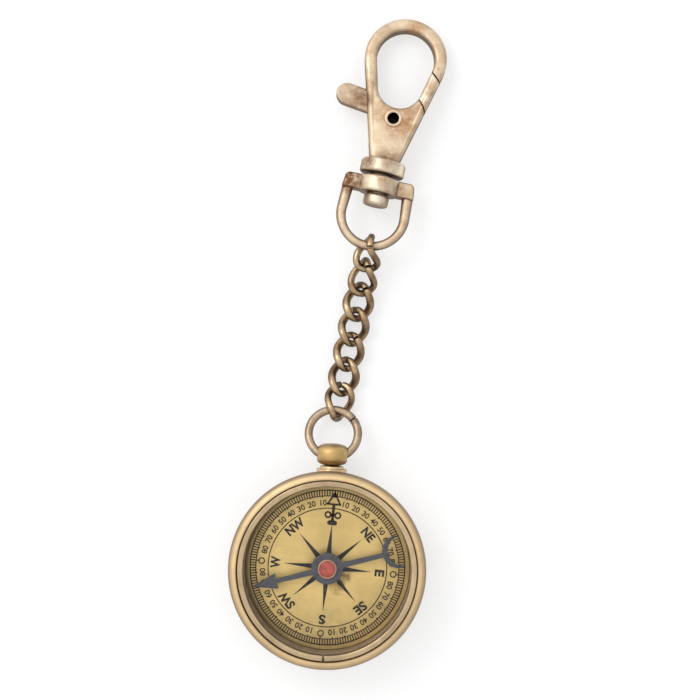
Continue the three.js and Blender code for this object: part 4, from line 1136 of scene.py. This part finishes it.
class KEYCHAIN_OT_pendant(bpy.types.Operator):
    """Stepped collar, cross-bored ball and the open bow ring through it"""
    bl_idname = "keychain.pendant"
    bl_label = "Build pendant"

    def execute(self, context):
        c, p, at = context.scene.keychain_case, context.scene.keychain_pendant, case_sizes(context.scene)
        along = Matrix.Translation((0, 0, at["pendant"])) @ ALONG
        inside = at["barrel"] - p.shank_depth
        pendant_flange(c, p, at, along, inside)
        pendant_bead(c, p, at, along, inside)
        bow_hoop(c, p, at, bow_place(context.scene))
        return {"FINISHED"}


# Chain, its links numbered from the clasp

# Roll in degrees of the links next to the clasp and of the one on the bow, and where each seam is
FIRST_ROLLS = (46, 29, 9)
LAST_ROLL = -20
SEAMS = (40, 48, 50, 96, 55, 84, 92)


def clasp_sizes(scene):
    """Distances along the clasp's axis from the middle of the hook's collar, and its slope."""
    k = scene.keychain_clasp
    at = {"boss_top": -k.collar_height / 2 - k.swivel_gap}
    at["boss_bottom"] = at["boss_top"] - k.bar_height
    at["eye_centre"] = at["boss_bottom"] - k.arm_length + k.eye_wire / 2
    at["eye_reach"] = k.eye_half_width - at["eye_centre"]
    at["tip"] = k.loop_reach + k.loop_radius
    at["slope"] = math.asin((k.collar_radius - k.loop_thickness / 2) / at["tip"])
    at["loop_inner"] = k.loop_radius - k.loop_bar
    at["throat_radius"] = at["loop_inner"] - k.throat_taper
    at["throat"] = k.loop_reach - k.throat_drop
    at["pivot"] = at["throat"] - at["throat_radius"] - k.pivot_drop
    return at


def chain_places(scene):
    """Where each link goes, from the bow up."""
    h, p, k = scene.keychain_chain, scene.keychain_pendant, scene.keychain_clasp
    at, clasp, table_gap = case_sizes(scene), clasp_sizes(scene), 0.06 * MM
    pitch = 2 * h.length_ratio * h.wire - h.wire - h.slack
    eye_height = k.collar_radius + table_gap + clasp["eye_reach"] * math.sin(clasp["slope"])
    eye_offset = (k.eye_wire - h.slack) / 2 + h.end_slack
    bow_offset = (p.bow_wire - h.slack) / 2 + h.end_slack
    pulled = bow_place(scene) @ Vector((p.bow_radius * math.cos(p.bow_contact),
                                        at["bow_centre"] + p.bow_radius * math.sin(p.bow_contact), 0))
    contact = pulled - Vector((math.sin(h.lean), math.cos(h.lean), 0)) * bow_offset
    slopes = {3: h.third_slope, 2: h.second_slope}
    rolls = {h.links: LAST_ROLL, **{i + 1: roll for i, roll in enumerate(FIRST_ROLLS)}}
    places = {}
    for number in range(h.links, 0, -1):
        rise = slopes.get(number, 0.0)
        if number == h.links:
            rise = math.asin((chain_level(scene) - contact.z) / pitch)
        elif number == 1:
            rise = math.asin((eye_height - contact.z) / (pitch - eye_offset))
        along = Vector((math.sin(h.lean) * math.cos(rise), math.cos(h.lean) * math.cos(rise),
                        math.sin(rise)))
        places[number] = aimed(contact + along * pitch / 2, rise, h.lean, rolls.get(number, 0) * DEGREE)
        contact = contact + along * pitch
    return places


def link_girth(number, links, seam):
    """How thick a link's wire is along its length: pressed, dented beside the seam, worn on the bow."""
    pressed, strand_from, worn, uneven, waves = 0.14, 0.7, 0.04, 0.012, 40
    dented, dents = 0.05, ((0.07, 0.02, 1.0), (0.13, 0.025, 0.7))

    def girth(share):
        from_end = min(share, 1 - share)
        dent = sum(deep * math.exp(-((from_end - middle) / wide) ** 2) for middle, wide, deep in dents)
        strand = max(0.0, abs(math.cos(seam + TURN * share)) - strand_from) / (1 - strand_from)
        thicker = pressed * strand if 2 < number < links else 0.0
        thinner = worn if number == links else 0.0
        return 1.0 + thicker - thinner - dented * dent - uneven * (1 + math.sin(waves * share + number)) / 2

    return girth


class KEYCHAIN_OT_chain(bpy.types.Operator):
    """Twisted curb links, each a bent wire with a butt seam"""
    bl_idname = "keychain.chain"
    bl_label = "Build chain"

    def execute(self, context):
        c, h, places = context.scene.keychain_case, context.scene.keychain_chain, chain_places(context.scene)
        half_width, half_length, power = h.width_ratio * h.wire, h.length_ratio * h.wire, 2 / h.squareness
        # Red-brown marks on each link's right strand: partly wear beside the seams, partly painted shade on
        # the side away from the light.
        scuffs_and_shade = [(place @ Vector((half_width, 0.3 * half_length, 0)), 2.8 * MM, 1.0, h.bronze_shade)
                  for place in places.values()]
        # Painted shade: the links' steep sides are darkened, which draws their dark edges.
        bronze = worn_metal("link_bronze", h.bronze, h.bronze_shade, c.tarnish, (0.26, 0.42), patch=300.0,
                            patch_share=0.8, recess=0.9 * MM, recess_share=0.95, side=c.tarnish,
                            side_share=0.92, side_from=0.82, stains=scuffs_and_shade, grain=1000.0,
                            grain_depth=0.04 * MM, edge_light=0.5, specks=0.3)
        for number, place in places.items():
            seam = SEAMS[(number - 1) % len(SEAMS)] * DEGREE
            path = []
            for a in round_from(seam, h.seam_gap / half_width, 120):
                across, along = half_width * bulged(math.cos(a), power), bulged(math.sin(a), power)
                turn = h.twist * (3 * along - along ** 3) / 2
                path.append(Vector((across * math.cos(turn), half_length * along, across * math.sin(turn))))
            link = wire(path, h.wire, 24, place, 0.1 * MM, link_girth(number, h.links, seam))
            for corner in link.vertices:
                corner.co.z = max(corner.co.z, 0.0)
            show(f"link_wire_{number}", link, f"link_{number}", bronze,
                 f"chain_link_{number}")
        return {"FINISHED"}


# Clasp, laid along +Y from the middle of the hook's collar

SLOT_DROP, SLOT_RISE, SLOT_MOUTH, SLOT_WALL = 5.2 * MM, 5.4 * MM, 1.6 * MM, 1.4 * MM
COIL_PITCH, COIL_TURNS, COIL_PLAY = 0.82 * MM, 1.25, 0.345 * MM
SPRING_TAIL, SPRING_LEG = 1.8 * MM, SLOT_DROP - 0.6 * MM


def clasp_stains(k, at):
    """Rust and patina on the clasp, and painted shade on the sides of the collar, the boss and the stem's
    head, as (across in mm, along, up, reach in mm, strength, colour).
    """
    pivot, root = at["pivot"], at["pivot"] + k.tab_root_height
    face, loop, lever, bar = (thick / 2 for thick in (k.thickness, k.loop_thickness, k.lever_thickness,
                                                      k.bar_thickness))
    bar_middle = at["boss_bottom"] + k.bar_height / 2
    head_middle = at["boss_bottom"] - k.run - k.head_height / 2
    collar, head = 0.7 * k.collar_radius, 0.7 * k.head_radius
    return ((-1.8, pivot + 0.9 * MM, face, 3.0, 0.8, k.rust), (2.2, pivot, face, 3.2, 0.8, k.rust),
            (0.3, pivot - 2.0 * MM, face, 3.0, 0.5, k.rust),
            (0.5, k.heel_reach - k.heel_radius / 3, face, 3.2, 0.7, k.patina),
            (-5.6, root, lever, 2.4, 0.9, k.patina), (-6.8, root, lever, 3.4, 0.5, k.patina),
            (5.4, pivot + 3.2 * MM, face, 1.8, 0.9, k.rust),
            (6.6, k.loop_reach - k.nose_outer_drop, loop, 2.0, 0.7, k.rust),
            (-5.6, bar_middle, bar, 3.6, 1.0, k.patina), (-6.0, bar_middle, bar, 3.0, 1.0, k.patina),
            (-9.6, pivot + k.tab_height, lever, 5.0, 0.4, k.patina),
            # Painted shade on the right side of the boss, and on the upper left of the collar and of the
            # stem's head.
            (4.0, bar_middle, 0.6 * k.boss_radius, 2.0, 0.8, k.patina),
            (-collar / MM, 0, collar, 2.2, 0.8, k.patina),
            (-head / MM, head_middle, head, 1.7, 0.9, k.patina),
            (0.5, k.loop_reach + at["loop_inner"], loop, 2.6, 0.7, k.rust))


class Clasp:
    """Sizes, places and finishes that the clasp's pieces share, and a function for each piece."""

    def __init__(self, scene):
        k = self.k = scene.keychain_clasp
        at = self.at = clasp_sizes(scene)
        self.slide, self.seat = scene.keychain_case.slide, scene.keychain_case.seat
        swivel = next(Vector(j["pos_m"]) for j in frame["joints"] if j["name"] == "hook_swivel")
        self.place = aimed(swivel, -at["slope"], k.lean)
        self.to_clasp = self.place.inverted()
        self.pivot = Vector((0, at["pivot"]))
        self.at_pivot = Matrix.Translation((0, at["pivot"], 0))
        self.coil = k.rivet_radius + COIL_PLAY + k.spring_wire / 2
        self.stains = [(self.place @ Vector((x * MM, y, z)), reach * MM, share, tone)
                       for x, y, z, reach, share, tone in clasp_stains(k, at)]
        self.gold = self.plating("clasp_gold", k.gold, 0.62)
        self.pale = self.plating("collar_gold", k.collar_gold, 0.5)

    def plating(self, name, base, side_from):
        """Plating with painted shade, dark brown, where it faces sideways."""
        k = self.k
        return worn_metal(name, base, k.gold_shade, k.patina, (0.42, 0.58), patch=260.0, patch_share=1.0,
                          side=k.edge_brown, side_share=0.9, side_from=side_from, stains=self.stains,
                          grain_depth=0.022 * MM, edge=0.25 * MM, edge_light=0.25, specks=0.6)

    def show_plated(self, name, mesh, body, finish, node, is_pale):
        """Shows a piece with the paler plating where its place in the clasp passes a test."""
        mesh.transform(self.place)
        piece = weigh_normals(show(name, mesh, body, finish, node))
        lined(piece, self.pale, lambda spot: is_pale(self.to_clasp @ spot))

    def eye_path(self):
        """Middle of the eye's wire, from one ear round to the other."""
        k, centre = self.k, self.at["eye_centre"]
        top = self.at["boss_bottom"] + k.bar_height / 2
        arm = math.hypot(k.eye_half_width - k.ear_half_width, top - centre)
        whole, steps = 2 * arm + math.pi * k.eye_half_width, 140
        path = []
        for i in range(steps + 1):
            run = whole * i / steps
            share = min(run, whole - run) / arm
            if share < 1:
                across = k.ear_half_width + share * (k.eye_half_width - k.ear_half_width)
                across = -across if run < whole / 2 else across
                along = top + share * (centre - top)
            else:
                a = math.pi + (run - arm) / k.eye_half_width
                across = k.eye_half_width * math.cos(a)
                along = centre + k.eye_half_width * math.sin(a)
            path.append(Vector((across, along, 0)))
        return path

    def eye(self):
        k, at = self.k, self.at
        reach, flare, corner = k.ear_half_width + k.eye_wire / 2, 0.4 * MM, 0.3 * MM

        def bar_outline(inset):
            x, ear = reach - inset, k.ear_round - inset
            low, high = at["boss_bottom"] + inset, at["boss_top"] - inset
            return filleted([(0, low, 0), (x + flare, low, corner), (x, high, ear), (-x, high, ear),
                             (-x - flare, low, corner), (-SLIVER, low, 0)], 8)

        def thicker(share):
            """The wire swells where it grows out of the ears."""
            swell, reach_in, fall = 0.3, 0.32, 1.2
            return 1 + swell * max(0.0, 1 - min(share, 1 - share) / reach_in) ** fall

        edge = 0.5 * MM
        bar = plate(bar_outline, k.bar_thickness, edge)
        boss = rod(k.boss_radius, at["boss_bottom"], at["boss_top"], ALONG, edge)
        bore = rod(k.stem_radius + k.run, at["boss_bottom"] - k.bar_height, at["boss_top"] + k.bar_height,
                   ALONG, sides=PIN_SIDES)
        loop = wire(self.eye_path(), k.eye_wire, 28, girth=thicker)
        eye = combined("DIFFERENCE", combined("UNION", bar, boss, loop), bore)
        self.show_plated("clasp_eye", eye, "eye", self.plating("eye_gold", k.gold, 0.88), "swivel_eye",
                         lambda spot: spot.xz.length < 1.02 * k.boss_radius and spot.y > at["boss_bottom"])

    def pear(self):
        """The hook without its cuts, thinner from the throat to the tip."""
        k, at = self.k, self.at
        heel, loop, throat = (Vector((0, y)) for y in (k.heel_reach, k.loop_reach, at["throat"]))

        def outline(inset):
            return two_circles(heel, k.heel_radius, loop, k.loop_radius, inset, 48, 16)

        def hole(inset):
            return two_circles(throat, at["throat_radius"], loop, at["loop_inner"], inset, 48, 16)

        mesh = plate(outline, k.thickness, k.edge_round, hole)
        start = at["throat"] - at["throat_radius"]
        for corner in mesh.vertices:
            share = min(max((corner.co.y - start) / (at["tip"] - start), 0.0), 1.0)
            corner.co.z *= 1 + share * (k.loop_thickness / k.thickness - 1)
        return mesh

    def gate_window(self, margin):
        """The part of the loop that the gate closes, drawn in by a margin."""
        k, at = self.k, self.at
        inner = Vector((at["loop_inner"], k.loop_reach - k.nose_inner_drop))
        outer = Vector((k.loop_radius, k.loop_reach - k.nose_outer_drop))
        run = (outer - inner).normalized()
        off, beyond = Vector((run.y, -run.x)) * margin, run * at["loop_inner"] / 2
        start, end = inner - beyond + off, outer + beyond + off
        root = arc(self.pivot, k.gate_root + margin, 75 * DEGREE, -75 * DEGREE, 24)
        return prism(root + [Vector((end.x, self.pivot.y)), end, start], 2 * k.thickness)

    def lever_slot(self):
        """The slot in the hook for the lever, with a wall left on the gate's side."""
        k, at = self.k, self.at
        slope = math.asin((k.loop_radius - k.heel_radius) / (k.loop_reach - k.heel_reach))

        def wall_at(height):
            return k.heel_radius / math.cos(slope) + (height - k.heel_reach) * math.tan(slope) - SLOT_WALL

        far, inner = -2 * k.loop_radius, -at["throat_radius"] / 2
        low, mouth, high = (self.pivot.y + rise for rise in (-SLOT_DROP, -SLOT_MOUTH, SLOT_RISE))
        return prism([Vector(q) for q in (
            (far, low), (wall_at(low), low), (wall_at(mouth), mouth), (k.loop_radius, at["throat"]),
            (inner, at["throat"]), (inner, high), (far, high))], k.lever_thickness + 2 * k.side)

    def hook(self):
        k, half = self.k, self.k.collar_height / 2
        head_top = self.at["boss_bottom"] - k.run
        hole = rod(k.rivet_radius + self.slide, -k.thickness, k.thickness, self.at_pivot, sides=PIN_SIDES)
        body = combined("DIFFERENCE", self.pear(), self.lever_slot(), self.gate_window(0), hole)
        collar = rod(k.collar_radius, -half, half, ALONG, 0.5 * MM)
        stem = rod(k.stem_radius, head_top - 0.5 * MM, 0, ALONG, sides=PIN_SIDES)
        head = rod(k.head_radius, head_top - k.head_height, head_top, ALONG, 0.6 * MM)
        body = combined("UNION", body, collar, stem, head)
        self.show_plated("clasp_hook", body, "hook", self.gold, "hook_body", lambda spot: spot.y < half)

    def gate(self):
        k, pivot, thick = self.k, self.pivot, self.k.lever_thickness
        arm_end = pivot + Vector((math.cos(k.arm_angle), math.sin(k.arm_angle))) * k.arm_reach
        tab_root = pivot + Vector((-k.tab_root_reach, k.tab_root_height))
        tab_end = pivot + Vector((-k.tab_reach, k.tab_height))
        gate = combined("INTERSECT", self.pear(), self.gate_window(k.gate_gap))
        arm = strap(pivot, k.arm_root, arm_end, k.arm_tip, thick)
        neck = strap(pivot, k.lever_hub, tab_root, k.tab_neck, thick)
        tab = strap(tab_root, k.tab_radius, tab_end, k.tab_radius, thick, k.edge_round / 2, 32, 12)
        hole = rod(k.rivet_radius + k.run, -k.thickness, k.thickness, self.at_pivot, sides=PIN_SIDES)
        room = math.hypot(self.coil, SPRING_TAIL) + k.spring_wire / 2 + self.slide
        depth = COIL_PITCH * COIL_TURNS + k.spring_wire + self.slide
        pocket = rod(room, -thick / 2, depth - thick / 2, self.at_pivot)
        lever = combined("DIFFERENCE", combined("UNION", gate, arm, neck, tab), hole, pocket)
        self.show_plated("clasp_gate", lever, "gate", self.gold, "gate_lever",
                         lambda spot: spot.x > self.at["throat_radius"] / 2)

    def rivet(self):
        """Rivet with a domed head below and a rolled lip round its hollow above, the hollow darkened to
        black as painted shade.
        """
        k, place = self.k, self.place @ self.at_pivot
        face = k.thickness / 2 + self.seat
        dome, lip = face + 0.6 * MM, face + 0.3 * MM
        dome_radius, head_radius = 1.3 * MM, 2.0 * MM
        floor, rim = lip - 2.4 * MM, lip - 0.25 * MM
        # Painted shade: the near-black corner colour over a deep reach blackens the hollow.
        gold = worn_metal("rivet_gold", k.gold, k.gold_shade, (0.01, 0.008, 0.006), (0.34, 0.5),
                          recess=4 * MM, recess_share=1.0, edge=0.1 * MM, edge_light=0.5)
        profile = filleted([
            (0, -dome, 0), (dome_radius, -dome, 0.3 * MM), (head_radius, -face, 0.08 * MM),
            (k.rivet_radius, -face, 0.03 * MM), (k.rivet_radius, face, 0.03 * MM),
            (k.rivet_lip, face, 0.1 * MM), (k.rivet_lip, lip, 0.18 * MM), (k.rivet_hollow, lip, 0.16 * MM),
            (k.rivet_hollow, floor, 0.2 * MM), (0, floor, 0)], 5)
        pin = show("gate_pin", turned(profile, place, ROD_SIDES), "hook", gold, "gate_rivet")
        # Painted shade: a near-black finish on the faces inside the hollow.
        hollow_shade = worn_metal("rivet_hollow_shade", (0.02, 0.018, 0.016), (0.008, 0.007, 0.006), (0.004, 0.004, 0.004),
                          (0.4, 0.6))
        to_pin = place.inverted()

        def in_hollow(spot):
            local = to_pin @ spot
            return local.xy.length < 1.02 * k.rivet_hollow and 0 < local.z < rim

        lined(pin, hollow_shade, in_hollow)

    def spring(self):
        """Coil round the rivet, with one leg down the slot and a tail on the lever."""
        k, coil, steps = self.k, self.coil, 160
        base = -(k.lever_thickness + 2 * k.side) / 2 + k.spring_wire / 2 + self.slide
        round_run = TURN * COIL_TURNS * coil
        whole = SPRING_LEG + round_run + SPRING_TAIL
        path = []
        for i in range(steps + 1):
            run = whole * i / steps - SPRING_LEG
            a = min(max(run, 0), round_run) / coil
            across = coil * math.cos(a) - max(run - round_run, 0)
            along = self.pivot.y + coil * math.sin(a) + min(run, 0)
            path.append(Vector((across, along, base + COIL_PITCH * a / TURN)))
        steel = worn_metal("coil_steel", (0.46, 0.47, 0.48), (0.3, 0.3, 0.31), (0.05, 0.04, 0.03),
                           (0.2, 0.34), recess=0.4 * MM, grain_depth=0.004 * MM, edge=0.03 * MM)
        coiled = wire(path, k.spring_wire, 12, self.place, 0.04 * MM)
        show("gate_coil", coiled, "hook", steel, "gate_spring")


class KEYCHAIN_OT_clasp(bpy.types.Operator):
    """Swivel eye, pear-shaped hook, spring gate and rivet"""
    bl_idname = "keychain.clasp"
    bl_label = "Build clasp"

    def execute(self, context):
        clasp = Clasp(context.scene)
        for build in (clasp.eye, clasp.hook, clasp.gate, clasp.rivet, clasp.spring):
            build()
        return {"FINISHED"}


# Stage

FLOOR_REACH, FLOOR_DROP = 1.5, 0.02 * MM
KEY_PLACE, KEY_AIM, KEY_SIZE = (-0.42, 0.40, 0.62), (0, 40 * MM, 0), 0.42
SKY_TOWARDS = (-0.35, 0.4, 0.85)
SKY_LEVELS = ((0.0, 0.5), (0.4, 0.6), (0.6, 0.8), (0.8, 1.02), (1.0, 1.25))


def soft_room(strength):
    """Light from all round, brighter from above the far left."""
    world = bpy.data.worlds.new("soft_room")
    world.use_nodes = True
    tree = world.node_tree
    tree.nodes.clear()
    towards = measured(tree, "DOT_PRODUCT", add(tree, "ShaderNodeTexCoord").outputs["Generated"],
                       Vector(SKY_TOWARDS).normalized())
    shade = add(tree, "ShaderNodeValToRGB", {0: ranged(tree, towards, -1.0, 1.0)})
    stops = shade.color_ramp.elements
    for position, _ in SKY_LEVELS[1:-1]:
        stops.new(position)
    for stop, (_, level) in zip(stops, SKY_LEVELS):
        stop.color = (level, level, level, 1)
    light = add(tree, "ShaderNodeBackground", {"Color": shade.outputs[0], "Strength": strength})
    add(tree, "ShaderNodeOutputWorld", {"Surface": light.outputs[0]})
    return world


class KEYCHAIN_OT_stage(bpy.types.Operator):
    """Plain floor, soft studio light and the camera above"""
    bl_idname = "keychain.stage"
    bl_label = "Set stage"

    def execute(self, context):
        scene, s = context.scene, context.scene.keychain_stage
        scene.view_settings.view_transform = "Standard"
        scene.world = soft_room(s.sky)
        corners = [(x * FLOOR_REACH, y * FLOOR_REACH, -FLOOR_DROP)
                   for x, y in ((-1, -1), (1, -1), (1, 1), (-1, 1))]
        mesh = new_mesh(corners, [(0, 1, 2, 3)])
        coat(mesh, floor_finish(s))
        floor = placed("floor", mesh)
        lamp = bpy.data.lights.new("key_light", "AREA")
        lamp.energy, lamp.shape, lamp.size = s.key, "DISK", KEY_SIZE
        key = placed("key_light", lamp)
        key.location = KEY_PLACE
        key.rotation_euler = (Vector(KEY_AIM) - key.location).to_track_quat("-Z", "Y").to_euler()
        data = bpy.data.cameras.new("camera")
        data.lens, data.sensor_width = s.lens, 36.0
        data.clip_start, data.clip_end = 0.01, 10.0
        camera = placed("camera", data)
        camera.location = (s.camera_across, s.camera_along, s.camera_height)
        camera.rotation_euler = (0, 0, s.camera_turn)
        scene.camera = camera
        return {"FINISHED"}


class KEYCHAIN_PT_panel(bpy.types.Panel):
    """Lists the sizes, the colours and the steps of the keychain"""
    bl_idname = "KEYCHAIN_PT_panel"
    bl_label = "Compass Keychain"
    bl_space_type = "VIEW_3D"
    bl_region_type = "UI"
    bl_category = "Keychain"

    def draw(self, context):
        layout = self.layout
        for name, operator in STEPS:
            layout.operator(operator)
            box = layout.box()
            settings = getattr(context.scene, name)
            for key in settings.__annotations__:
                box.prop(settings, key)


STEPS = (("keychain_case", "keychain.case"), ("keychain_dial", "keychain.dial"),
         ("keychain_needle", "keychain.needle"), ("keychain_pendant", "keychain.pendant"),
         ("keychain_chain", "keychain.chain"), ("keychain_clasp", "keychain.clasp"),
         ("keychain_stage", "keychain.stage"))
GROUPS = (CaseSettings, DialSettings, NeedleSettings, PendantSettings, ChainSettings, ClaspSettings,
          StageSettings)
OPERATORS = (KEYCHAIN_OT_case, KEYCHAIN_OT_dial, KEYCHAIN_OT_needle, KEYCHAIN_OT_pendant, KEYCHAIN_OT_chain,
             KEYCHAIN_OT_clasp, KEYCHAIN_OT_stage)


def register():
    for item in (*GROUPS, *OPERATORS, KEYCHAIN_PT_panel):
        bpy.utils.register_class(item)
    for (name, _), group in zip(STEPS, GROUPS):
        setattr(bpy.types.Scene, name, PointerProperty(type=group))


def unregister():
    for name, _ in STEPS:
        delattr(bpy.types.Scene, name)
    for item in (KEYCHAIN_PT_panel, *reversed(OPERATORS), *reversed(GROUPS)):
        bpy.utils.unregister_class(item)


def main():
    register()
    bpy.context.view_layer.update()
    for operator in (bpy.ops.keychain.case, bpy.ops.keychain.dial, bpy.ops.keychain.needle,
                     bpy.ops.keychain.pendant, bpy.ops.keychain.chain, bpy.ops.keychain.clasp,
                     bpy.ops.keychain.stage):
        operator()


if __name__ == "__main__":
    main()
